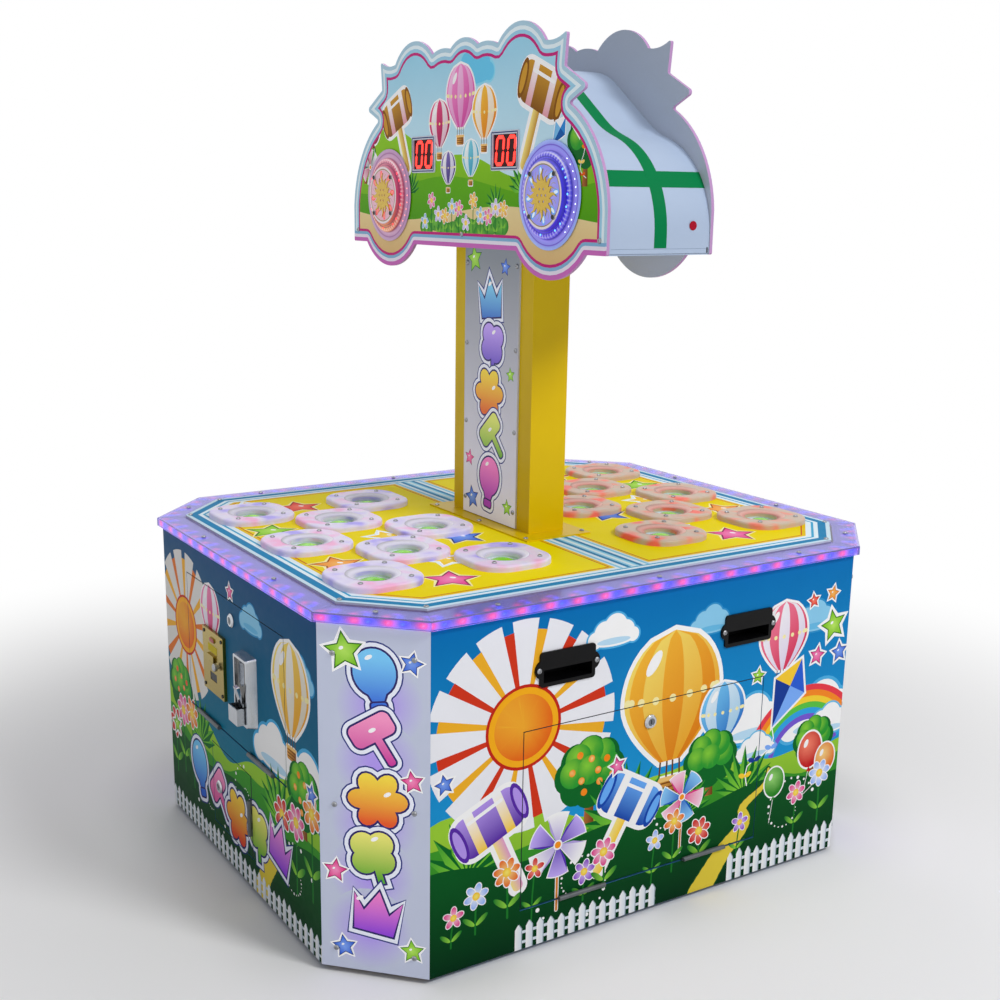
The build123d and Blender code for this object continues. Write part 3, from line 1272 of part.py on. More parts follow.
def screws():
    """Every pan-head screw that shows on the outside."""
    up = (0, 0, 1)
    pieces = [screw_on((x, y, RING_TOP), up, long=True) for x, y in ring_screw_places()]
    pieces += [screw_on((x, y, SHEET_TOP + FLANGE_T), up) for x, y in flange_screw_places()]
    pieces += [screw_on((x, y, SHEET_TOP), up) for x, y in octagon(SHEET_SCREW_INSET)]
    for side in range(len(octagon(0))):
        pieces += [screw_on((x, y, RIM_TOP), up, long=True) for x, y in rim_screw_places(side)]
    for side in CORNER_SIDES:
        pieces += [screw_on(point, way) for point, way in corner_screw_places(side)]
    for way in (-1, 1):
        pieces += [screw_on(point, outward) for point, outward in sign_screw_places(way)]
        pieces += [screw_on(point, outward, long=True) for point, outward in lamp_screw_places(way)]
        for x in (-TRAY_SCREW_X, 0, TRAY_SCREW_X):
            point = (x, way * HEAD_DEPTH / 2, TRAY_BOTTOM + TRAY_SCREW_RISE)
            pieces.append(screw_on(point, (0, way, 0)))
    pieces += [screw_on(point, outward) for point, outward in handle_screw_places()]
    save("screws", *pieces)


base()
panels()
light_strips()
deck()
rim()
targets()
column()
head_boards()
head_cover()
head_tray()
speaker()
lamps()
displays()
doors()
acceptor()
meter()
body = handle()
save("lift_handles", *[place * body for place in handle_places()])
inside()
inlet()
screws()
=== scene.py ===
"""Looks of a two-player mole pounding machine: prints, lit acrylic, lamps, displays and metalwork."""

import logging
import math
from dataclasses import dataclass, field
from enum import Enum
from functools import lru_cache
from typing import Callable, Iterable, Iterator, Optional, Union

import bpy
from mathutils import Matrix, Vector
from mathutils.bvhtree import BVHTree
from mathutils.geometry import delaunay_2d_cdt


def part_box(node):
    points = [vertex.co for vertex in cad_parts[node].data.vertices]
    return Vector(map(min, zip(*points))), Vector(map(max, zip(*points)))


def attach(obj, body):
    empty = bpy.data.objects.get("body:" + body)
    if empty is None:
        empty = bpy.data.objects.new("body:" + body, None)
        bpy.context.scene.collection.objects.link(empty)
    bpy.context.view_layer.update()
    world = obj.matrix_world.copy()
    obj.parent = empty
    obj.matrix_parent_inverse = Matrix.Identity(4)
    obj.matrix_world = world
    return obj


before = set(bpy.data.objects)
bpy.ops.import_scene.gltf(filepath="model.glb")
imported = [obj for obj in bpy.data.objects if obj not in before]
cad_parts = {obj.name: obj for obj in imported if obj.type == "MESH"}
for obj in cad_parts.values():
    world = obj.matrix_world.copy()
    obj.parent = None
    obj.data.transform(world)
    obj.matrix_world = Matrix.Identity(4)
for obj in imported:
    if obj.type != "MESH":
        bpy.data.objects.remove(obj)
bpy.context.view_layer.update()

MM = 0.001
CABINET = "cabinet"
Point = tuple[float, float]
Colour = tuple[float, float, float]
Outline = list[Point]
Socket = bpy.types.NodeSocket
log = logging.getLogger("machine")


@lru_cache(maxsize=None)
def linear(code: str) -> Colour:
    """Turn six hex digits after a hash into linear light, worked out once for each code."""
    parts = [int(code[i:i + 2], 16) / 255 for i in (1, 3, 5)]
    return tuple(p / 12.92 if p <= 0.04045 else ((p + 0.055) / 1.055) ** 2.4 for p in parts)


def mixed(near: Colour, far: Colour, share: float) -> Colour:
    """Return a colour part of the way from one to another."""
    share = min(1.0, max(0.0, share))
    return tuple(a + (b - a) * share for a, b in zip(near, far))


def dimmed(colour: Colour, share: float) -> Colour:
    """Return a share of a colour's light."""
    return tuple(value * share for value in colour)


def placed(name: str, data: bpy.types.ID) -> bpy.types.Object:
    """Put a mesh, a lamp or a camera into the scene.

    Args:
        name: Name of the new object.
        data: What it is made of.

    Returns:
        The new object.
    """
    made = bpy.data.objects.new(name, data)
    bpy.context.scene.collection.objects.link(made)
    return made


def piece(name: str, points: list, faces: list, finish: "Finish", body: str,
          inks: list[Colour], smooth: bool = False) -> bpy.types.Object:
    """Make one visible piece that rides on a body.

    Args:
        name: Name of the piece.
        points: Corners in metres.
        faces: Corner numbers of each face.
        finish: What it is made of.
        body: The body that it moves with.
        inks: One colour for each corner of each face, in order.
        smooth: Whether its faces blend into each other.

    Returns:
        The new object.
    """
    mesh = bpy.data.meshes.new(name)
    mesh.from_pydata(points, [], faces)
    layer = mesh.color_attributes.new("ink", "FLOAT_COLOR", "CORNER")
    layer.data.foreach_set("color", [value for ink in inks for value in (*ink, 1.0)])
    mesh.polygons.foreach_set("use_smooth", [smooth] * len(mesh.polygons))
    mesh.materials.append(finish.material())
    made = placed(name, mesh)
    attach(made, body)
    log.info("%s: %d faces on %s", name, len(faces), body)
    return made


class Bench:
    """A new material with short calls for the nodes in front of its shader."""

    def __init__(self, name: str, sockets: dict) -> None:
        """Start a material and set its constant sockets.

        Args:
            name: Name of the material.
            sockets: Values for the shader's own sockets.
        """
        self.made = bpy.data.materials.new(name)
        self.made.use_nodes = True
        self.tree = self.made.node_tree
        self.skin = self.tree.nodes["Principled BSDF"]
        for socket, value in sockets.items():
            self.skin.inputs[socket].default_value = value

    def add(self, kind: str, sockets: dict, settings: Optional[dict] = None) -> bpy.types.Node:
        """Add a node, with values or links for its sockets.

        Args:
            kind: Blender's name for the node.
            sockets: A value, or another node's output, for each socket.
            settings: Properties of the node itself.

        Returns:
            The node.
        """
        node = self.tree.nodes.new(kind)
        for key, value in (settings or {}).items():
            setattr(node, key, value)
        for key, value in sockets.items():
            if isinstance(value, Socket):
                self.tree.links.new(value, node.inputs[key])
            else:
                node.inputs[key].default_value = value
        return node

    def feed(self, output: Socket, socket: str) -> None:
        """Link an output to the shader."""
        self.tree.links.new(output, self.skin.inputs[socket])

    def place(self, stretch: tuple = (1.0, 1.0, 1.0)) -> Socket:
        """Return the place on the object, stretched along its axes."""
        spot = self.add("ShaderNodeTexCoord", {}).outputs["Object"]
        return self.add("ShaderNodeMapping", {"Vector": spot, "Scale": stretch}).outputs[0]

    def noise(self, grain: float, detail: float = 3.0, stretch: tuple = (1.0, 1.0, 1.0)) -> Socket:
        """Return a cloud of values whose patches are about a size in millimetres."""
        return self.add("ShaderNodeTexNoise", {
            "Vector": self.place(stretch), "Scale": 1 / (grain * MM), "Detail": detail}).outputs["Fac"]

    def ramp(self, value: Socket, stops: list) -> Socket:
        """Return colours picked by a value.

        Args:
            value: The value, from 0 to 1.
            stops: Places along the ramp and their linear colours.

        Returns:
            The colour output.
        """
        node = self.add("ShaderNodeValToRGB", {"Fac": value})
        band = node.color_ramp
        while len(band.elements) < len(stops):
            band.elements.new(0.5)
        for element, (spot, colour) in zip(band.elements, stops):
            element.position = spot
            element.color = (*colour, 1.0)
        return node.outputs["Color"]

    def spread(self, value: Socket, low: float, high: float) -> Socket:
        """Return a value from 0 to 1 moved into a range."""
        return self.add("ShaderNodeMapRange", {"Value": value, "To Min": low, "To Max": high}).outputs[0]

    def tones(self, value: Socket, first: Colour, last: Colour, low: float = 0.3,
              high: float = 0.7) -> None:
        """Colour the surface from one colour to another as a value rises between two levels."""
        self.feed(self.ramp(value, [(low, first), (high, last)]), "Base Color")

    def dull(self, value: Socket, level: float, low: float, high: float) -> None:
        """Let a value move the roughness between two shares of a level."""
        self.feed(self.spread(value, level * low, level * high), "Roughness")

    def relief(self, height: Socket, depth: float) -> None:
        """Raise the surface by a height, up to a depth in millimetres."""
        bump = self.add("ShaderNodeBump", {"Height": height, "Strength": 0.6, "Distance": depth * MM})
        self.feed(bump.outputs["Normal"], "Normal")

    def ink(self) -> Socket:
        """Return the colour that the mesh carries."""
        return self.add("ShaderNodeAttribute", {}, {"attribute_name": "ink"}).outputs["Color"]

    def tinted(self, colour: Socket, value: Socket, low: float, high: float) -> Socket:
        """Return a colour made lighter and darker by a value."""
        shade = self.spread(value, low, high)
        return self.add("ShaderNodeHueSaturation", {"Color": colour, "Value": shade}).outputs["Color"]


class Finish:
    """What a piece is made of."""

    def material(self) -> bpy.types.Material:
        """Return the material, made once."""
        return made_once(self)

    def build(self) -> bpy.types.Material:
        """Make the material."""
        raise NotImplementedError


@lru_cache(maxsize=None)
def made_once(finish: Finish) -> bpy.types.Material:
    """Build a finish's material the first time it is asked for."""
    return finish.build()


@dataclass(frozen=True)
class PrintedFilm(Finish):
    """Gloss printed film that can glow: backlight on the head's boards, partly painted light on plates and
    signs.
    """

    name: str
    roughness: float = 0.36
    coat: float = 0.0
    glow: float = 0.0
    ripple: float = 0.05
    shine: float = 0.03
    depth: float = 0.86

    def build(self) -> bpy.types.Material:
        """Make the material from the colours in the mesh.

        Returns:
            The material.
        """
        bench = Bench(self.name, {"Coat Weight": self.coat, "Coat Roughness": 0.06,
                                  "Emission Strength": self.glow, "Specular IOR Level": self.shine})
        ink = bench.tinted(bench.ink(), bench.noise(60.0, 4.0), self.depth * 0.96, self.depth * 1.04)
        bench.feed(ink, "Base Color")
        if self.glow:
            bench.feed(ink, "Emission Color")
        bench.dull(bench.noise(14.0), self.roughness, 0.8, 1.3)
        bench.relief(bench.noise(22.0, 2.0), self.ripple)
        return bench.made


@dataclass(frozen=True)
class PowderCoat(Finish):
    """Painted steel with a fine orange-peel skin, slightly duller where hands touch it."""

    name: str
    colour: str
    shade: str
    roughness: float
    peel: float = 0.01

    def build(self) -> bpy.types.Material:
        """Make the material from broad tone patches and a fine peel.

        Returns:
            The material.
        """
        bench = Bench(self.name, {"Coat Weight": 0.1, "Coat Roughness": 0.12, "Specular IOR Level": 0.1})
        bench.tones(bench.noise(180.0, 5.0), linear(self.shade), linear(self.colour))
        bench.dull(bench.noise(40.0, 5.0), self.roughness, 0.75, 1.35)
        bench.relief(bench.noise(1.6, 1.0), self.peel)
        return bench.made


@dataclass(frozen=True)
class BareMetal(Finish):
    """Metal with brush marks or fine scuffs."""

    name: str
    colour: str
    roughness: float
    scuff: float
    brush: tuple = (1.0, 1.0, 1.0)

    def build(self) -> bpy.types.Material:
        """Make the material from stretched noise.

        Returns:
            The material.
        """
        bench = Bench(self.name, {"Metallic": 1.0})
        base = linear(self.colour)
        marks = bench.noise(3.0, 4.0, self.brush)
        bench.tones(marks, dimmed(base, 0.86), base, 0.25, 0.65)
        bench.dull(marks, self.roughness, 0.7, 1.6)
        bench.relief(marks, self.scuff)
        return bench.made


@dataclass(frozen=True)
class Moulded(Finish):
    """Moulded plastic or rubber with a fine grain."""

    name: str
    colour: str
    shade: str
    roughness: float = 0.4
    grain: float = 1.2
    depth: float = 0.05
    sheen: float = 0.0
    shine: float = 0.5

    def build(self) -> bpy.types.Material:
        """Make the material from fine grain over soft tone patches.

        Returns:
            The material.
        """
        bench = Bench(self.name, {"Subsurface Weight": self.sheen, "Subsurface Scale": 0.004,
                                  "Specular IOR Level": self.shine})
        bench.tones(bench.noise(25.0, 4.0), linear(self.shade), linear(self.colour))
        grain = bench.noise(self.grain, 2.0)
        bench.dull(grain, self.roughness, 0.8, 1.25)
        bench.relief(grain, self.depth)
        return bench.made


@dataclass(frozen=True)
class EdgedBoard(Finish):
    """A pale board with a coloured edge all round."""

    name: str
    face: str
    edge: str
    roughness: float = 0.4

    def build(self) -> bpy.types.Material:
        """Make the material from the way the surface faces, with a faint grain.

        Returns:
            The material.
        """
        bench = Bench(self.name, {"Specular IOR Level": 0.1})
        way = bench.add("ShaderNodeTexCoord", {}).outputs["Normal"]
        split = bench.add("ShaderNodeSeparateXYZ", {"Vector": way})
        turned = bench.add("ShaderNodeMath", {0: split.outputs["Y"]}, {"operation": "ABSOLUTE"})
        tone = bench.ramp(turned.outputs[0], [(0.5, linear(self.edge)), (0.6, linear(self.face))])
        grain = bench.noise(4.0, 3.0)
        bench.feed(bench.tinted(tone, grain, 0.96, 1.02), "Base Color")
        bench.dull(grain, self.roughness, 0.8, 1.25)
        bench.relief(grain, 0.005)
        return bench.made


@dataclass(frozen=True)
class RawWood(Finish):
    """Raw board with grain along one axis."""

    name: str
    pale: str = "#d9b98c"
    dark: str = "#9b7246"
    stretch: tuple = (0.15, 1.0, 1.0)

    def build(self) -> bpy.types.Material:
        """Make the material from stretched noise.

        Returns:
            The material.
        """
        bench = Bench(self.name, {})
        grain = bench.noise(9.0, 6.0, self.stretch)
        bench.tones(grain, linear(self.dark), linear(self.pale), 0.35, 0.6)
        bench.dull(grain, 1.0, 0.75, 0.55)
        bench.relief(grain, 0.3)
        return bench.made


@dataclass(frozen=True)
class ClearAcrylic(Finish):
    """Clear moulded acrylic with faint haze and scratches."""

    name: str
    colour: str
    roughness: float
    cloudy: float = 0.0
    glow: float = 0.0
    bend: float = 1.45

    def build(self) -> bpy.types.Material:
        """Make the material from clear plastic and fine scratches.

        Returns:
            The material.
        """
        base = linear(self.colour)
        bench = Bench(self.name, {"Transmission Weight": 1.0 - self.cloudy, "IOR": self.bend,
                                  "Specular IOR Level": 0.2, "Emission Strength": self.glow,
                                  "Emission Color": (*base, 1.0)})
        haze = bench.noise(18.0, 5.0)
        bench.tones(haze, dimmed(base, 0.93), base, 0.3, 0.6)
        bench.dull(haze, self.roughness, 0.5, 2.0)
        bench.relief(bench.noise(1.4, 2.0), 0.01)
        return bench.made


@dataclass(frozen=True)
class FrostedGlow(Finish):
    """Milky acrylic lit from below by coloured lights, in one set of colours for each player."""

    name: str
    front: tuple
    rear: tuple
    patch: float = 44.0
    glow: float = 0.13
    clear: float = 0.15
    middle: float = 0.0103

    def build(self) -> bpy.types.Material:
        """Make the material from soft colour patches that change over the middle of the deck.

        Returns:
            The material.
        """
        bench = Bench(self.name, {"Transmission Weight": self.clear, "Roughness": 0.42, "IOR": 1.45,
                                  "Emission Strength": self.glow, "Coat Weight": 0.05,
                                  "Coat Roughness": 0.15, "Specular IOR Level": 0.2})
        patches = bench.noise(self.patch, 1.0)
        steps = [0.28 + 0.44 * index / (len(self.front) - 1) for index in range(len(self.front))]
        near, far = (bench.ramp(patches, list(zip(steps, map(linear, tints))))
                     for tints in (self.front, self.rear))
        split = bench.add("ShaderNodeSeparateXYZ", {"Vector": bench.place()})
        side = bench.add("ShaderNodeMapRange", {
            "Value": split.outputs["Y"], "From Min": self.middle - MM, "From Max": self.middle + MM})
        blend = bench.add("ShaderNodeMix", {"Factor": side.outputs[0]}, {"data_type": "RGBA"})
        bench.tree.links.new(near, blend.inputs["A"])
        bench.tree.links.new(far, blend.inputs["B"])
        for socket in ("Base Color", "Emission Color"):
            bench.feed(blend.outputs["Result"], socket)
        bench.relief(bench.noise(2.2, 2.0), 0.05)
        return bench.made


@dataclass(frozen=True)
class Lit(Finish):
    """A light seen directly, coloured by the mesh, which on the lamps also carries painted highlights and
    shade.
    """

    name: str
    strength: float
    base: float

    def build(self) -> bpy.types.Material:
        """Make the material from the colours in the mesh, a little uneven.

        Returns:
            The material.
        """
        bench = Bench(self.name, {"Emission Strength": self.strength, "Roughness": 0.3})
        ink, uneven = bench.ink(), bench.noise(9.0, 2.0)
        bench.feed(bench.tinted(ink, uneven, 0.92, 1.06), "Emission Color")
        bench.feed(bench.tinted(ink, uneven, self.base * 0.9, self.base), "Base Color")
        return bench.made


PRINT = PrintedFilm("printed_film")
# Its glow is partly backlight and partly painted light, which brightens the corner plates and the column's
# signs where they stand in shade.
PLATE_PRINT = PrintedFilm("glowing_plate_print", 0.2, 0.05, 0.16, 0.02, 0.15, 0.95)
MIRROR_PRINT = PrintedFilm("mirror_print", 0.12, 0.2, 0.0, 0.0, 0.4, 0.95)
BOARD_PRINT = PrintedFilm("board_print", 0.24, 0.0, 0.1, 0.02, 0.05, 0.95)
FIELD_PRINT = PrintedFilm("field_print", 0.46, 0.0, 0.0, 0.04, 0.03, 0.95)
TAPE = PrintedFilm("tape_film", 0.45, 0.0, 0.0, 0.08, 0.05, 0.9)
GLOW = Lit("strip_glow", 2.3, 0.12)
LAMP_GLOW = Lit("lamp_glow", 0.5, 0.55)
LED_AND_GLINT_DROP = Lit("led_and_glint_drop", 2.2, 0.8)
DIGIT = Lit("digit_light", 2.0, 0.6)
YELLOW = PowderCoat("yellow_coat", "#e4c400", "#dab600", 0.34)
WHITE = PowderCoat("white_coat", "#a9b8ce", "#a0b0c8", 0.42)
PANEL_EDGE = Moulded("panel_edge", "#3f79ad", "#2f6797", 0.4, 2.0)
SHEET_STEEL = Moulded("dark_sheet_steel", "#5d6266", "#4b5054", 0.35, 3.0, 0.01)
PLATE_WHITE = Moulded("plate_white", "#d4d9e6", "#ced4e2", 0.25, 4.0, 0.01)
BOARD_BACK = EdgedBoard("board_back", "#bfc6d4", "#b48cba")
CHROME = BareMetal("chrome", "#c4c7cc", 0.12, 0.002)
PLUG = BareMetal("lock_plug", "#74777c", 0.25, 0.004)
CAST = BareMetal("satin_cast", "#c3c7cd", 0.2, 0.002, (1.0, 1.0, 0.15))
STEEL = BareMetal("bright_steel", "#a0a2a6", 0.26, 0.02, (1.0, 6.0, 1.0))
ZINC = BareMetal("zinc_steel", "#a4a6a9", 0.35, 0.04, (3.0, 1.0, 1.0))
GOLD = BareMetal("gold_plate", "#a08a30", 0.2, 0.0005, (0.05, 0.1, 0.1))
SUN_GOLD = BareMetal("sun_gold", "#c8a94c", 0.2, 0.02)
GLOSS_BLACK = Moulded("gloss_black", "#0b0b0d", "#050506", 0.3, 3.0, 0.03, 0.0, 0.12)
MATT_BLACK = Moulded("matt_black", "#1b1b1d", "#101012", 0.6)
RUBBER = Moulded("rubber", "#242423", "#161616", 0.8, 0.8, 0.1)
MOLE = Moulded("mole_green", "#8fe02a", "#6fc81a", 0.22, 6.0, 0.02, 0.15)
BOARD_GREEN = Moulded("circuit_green", "#1d6b3a", "#12502a", 0.35, 5.0)
WINDOW = Moulded("maroon_window", "#4a0a10", "#33070b", 0.15, 8.0, 0.01, 0.0, 0.08)
RED_LENS = Moulded("red_lens", "#b0101c", "#8a0c14", 0.15, 4.0, 0.02, 0.1, 0.2)
GREY_LCD = Moulded("grey_window", "#30343a", "#24282e", 0.25, 6.0, 0.01, 0.0, 0.1)
STRIP = Moulded("strip_white", "#f4f0ff", "#dcd6f0", 0.5)
WOOD = RawWood("raw_board")
RIM = ClearAcrylic("rim_acrylic", "#c0b8f4", 0.1, 0.04, 0.04, 1.25)
LENS = ClearAcrylic("lens_acrylic", "#f6f4ff", 0.08)
RINGS = FrostedGlow("ring_frosted",
                    ("#ecacd6", "#e4c8ea", "#dcd8ee", "#d2caf2", "#a69cf2"),
                    ("#f4685a", "#d4a692", "#c4b6a6", "#ceaa96", "#ee7060"))


def ccw(outline: Outline) -> Outline:
    """Return an outline run anticlockwise, without doubled points.

    Args:
        outline: Corners in order.

    Returns:
        The same corners, in anticlockwise order.
    """
    kept = [p for p, q in zip(outline, outline[-1:] + outline[:-1]) if math.dist(p, q) > 1e-4]
    area = sum(a[0] * b[1] - b[0] * a[1] for a, b in zip(kept, kept[1:] + kept[:1]))
    return kept if area > 0 else kept[::-1]


def spoke(centre: Point, reach: float, angle: float) -> Point:
    """Return the point at a distance from a centre, at an angle in degrees."""
    lean = math.radians(angle)
    return (centre[0] + reach * math.cos(lean), centre[1] + reach * math.sin(lean))


def moved(outline: Outline, centre: Point, scale: float = 1.0, turn: float = 0.0) -> Outline:
    """Move an outline that is drawn about the origin.

    Args:
        outline: Its corners.
        centre: Where the origin goes.
        scale: How much larger it gets.
        turn: How far it turns, in degrees.

    Returns:
        The outline, scaled, turned and in its place.
    """
    lean = math.radians(turn)
    return [(centre[0] + scale * (x * math.cos(lean) - y * math.sin(lean)),
             centre[1] + scale * (x * math.sin(lean) + y * math.cos(lean))) for x, y in outline]


def oval(centre: Point, wide: float, tall: float, turn: float = 0.0, sides: int = 28) -> Outline:
    """Return an ellipse with two half widths, turned by some degrees."""
    angles = [2 * math.pi * index / sides for index in range(sides)]
    return moved([(wide * math.cos(a), tall * math.sin(a)) for a in angles], centre, 1.0, turn)


def disc(centre: Point, radius: float, sides: int = 28) -> Outline:
    """Return a circle."""
    return oval(centre, radius, radius, 0.0, sides)


def slab(x0: float, x1: float, y0: float, y1: float) -> Outline:
    """Return a rectangle."""
    return [(x0, y0), (x1, y0), (x1, y1), (x0, y1)]


def arc(centre: Point, radius: float, start: float, end: float, steps: int = 24) -> Outline:
    """Return an open arc between two angles in degrees."""
    return [spoke(centre, radius, start + (end - start) * step / steps) for step in range(steps + 1)]


def rounded(centre: Point, wide: float, tall: float, corner: float, steps: int = 6) -> Outline:
    """Return a rectangle with round corners.

    Args:
        centre: Its middle.
        wide: Its width.
        tall: Its height.
        corner: Radius of its corners.
        steps: Sides of each corner.

    Returns:
        The outline.
    """
    points = []
    for sx, sy, start in ((1, 1, 0), (-1, 1, 90), (-1, -1, 180), (1, -1, 270)):
        hub = (centre[0] + sx * (wide / 2 - corner), centre[1] + sy * (tall / 2 - corner))
        points += arc(hub, corner, start, start + 90, steps)
    return points


def star(centre: Point, radius: float, turn: float = 0.0, waist: float = 0.48, tips: int = 5) -> Outline:
    """Return a star with a waist that is a share of its radius."""
    reaches = (radius, radius * waist)
    return [spoke(centre, reaches[index % 2], 90 + turn + 180 * index / tips) for index in range(2 * tips)]


def grown(outline: Outline, by: float) -> Outline:
    """Return an outline with its edge moved out.

    Args:
        outline: Corners in order.
        by: How far the edge moves.

    Returns:
        The wider outline.
    """
    shape = [Vector(spot) for spot in ccw(outline)]
    points = []
    for before, here, after in zip(shape[-1:] + shape[:-1], shape, shape[1:] + shape[:1]):
        first, last = (here - before).normalized(), (after - here).normalized()
        side = Vector((first.y + last.y, -first.x - last.x))
        points.append(tuple(here + side * (2 * by / max(side.length_squared, 1.0))))
    return points


def bent(knots: Outline, steps: int = 6) -> Outline:
    """Return a smooth path through some points.

    Args:
        knots: The points.
        steps: Stretches between one point and the next.

    Returns:
        The points of the smooth path.
    """
    path = []
    ends = knots[:1] + knots + knots[-1:]
    for a, b, c, d in zip(ends, ends[1:], ends[2:], ends[3:]):
        for step in range(steps):
            t = step / steps
            path.append(tuple(0.5 * (2 * q + (r - p) * t + (2 * p - 5 * q + 4 * r - s) * t * t
                                     + (3 * q - p - 3 * r + s) * t ** 3) for p, q, r, s in zip(a, b, c, d)))
    return path + [knots[-1]]


class Spread(Enum):
    """How two printed colours run into each other."""

    FLAT = "flat"
    LINE = "line"
    ROUND = "round"


@dataclass(frozen=True)
class Ink:
    """A printed colour, or two that run into each other."""

    near: str
    far: str = "#000000"
    start: Point = (0.0, 0.0)
    end: Point = (0.0, 1.0)
    spread: Spread = Spread.FLAT

    def at(self, spot: Point) -> Colour:
        """Find the colour at a place on the print.

        Args:
            spot: The place, in the print's millimetres.

        Returns:
            The linear colour.
        """
        if self.spread is Spread.FLAT:
            return linear(self.near)
        if self.spread is Spread.ROUND:
            share = math.dist(spot, self.start) / math.dist(self.start, self.end)
        else:
            dx, dy = self.end[0] - self.start[0], self.end[1] - self.start[1]
            share = ((spot[0] - self.start[0]) * dx + (spot[1] - self.start[1]) * dy) / (dx * dx + dy * dy)
        return mixed(linear(self.near), linear(self.far), share)


def fade(near: str, far: str, start: Point, end: Point) -> Ink:
    """Return a colour that runs into another along a line."""
    return Ink(near, far, start, end, Spread.LINE)


def bloom(near: str, far: str, centre: Point, radius: float) -> Ink:
    """Return a colour that runs into another out from a point."""
    return Ink(near, far, centre, (centre[0] + radius, centre[1]), Spread.ROUND)


Shape = tuple[Outline, Union[Ink, str]]
Shapes = Iterator[Shape]


def line(path: Outline, width: float, ink: Union[Ink, str], closed: bool = False, steps: int = 4) -> Shapes:
    """Yield a round-ended bar for each stretch of a path.

    Args:
        path: Points of the path.
        width: Width of the line.
        ink: Its colour.
        closed: Whether the last point joins the first.
        steps: Sides of each round end.

    Yields:
        The outline of each bar and its colour.
    """
    for first, last in zip(path, path[1:] + path[:1] if closed else path[1:]):
        lean = math.degrees(math.atan2(last[1] - first[1], last[0] - first[0]))
        yield (arc(first, width / 2, lean + 90, lean + 270, steps)
               + arc(last, width / 2, lean - 90, lean + 90, steps)), ink


@dataclass(frozen=True)
class Facet:
    """A flat face of the machine, with millimetres running right and up from one corner."""

    corner: Vector
    right: Vector
    up: Vector
    width: float = 0.0
    height: float = 0.0

    @property
    def out(self) -> Vector:
        """The way the face looks."""
        return self.right.cross(self.up)

    def at(self, across: float, rise: float, lift: float = 0.0) -> Vector:
        """Return the point in metres at a place on the face, lifted off it."""
        return self.corner + (self.right * across + self.up * rise + self.out * lift) * MM


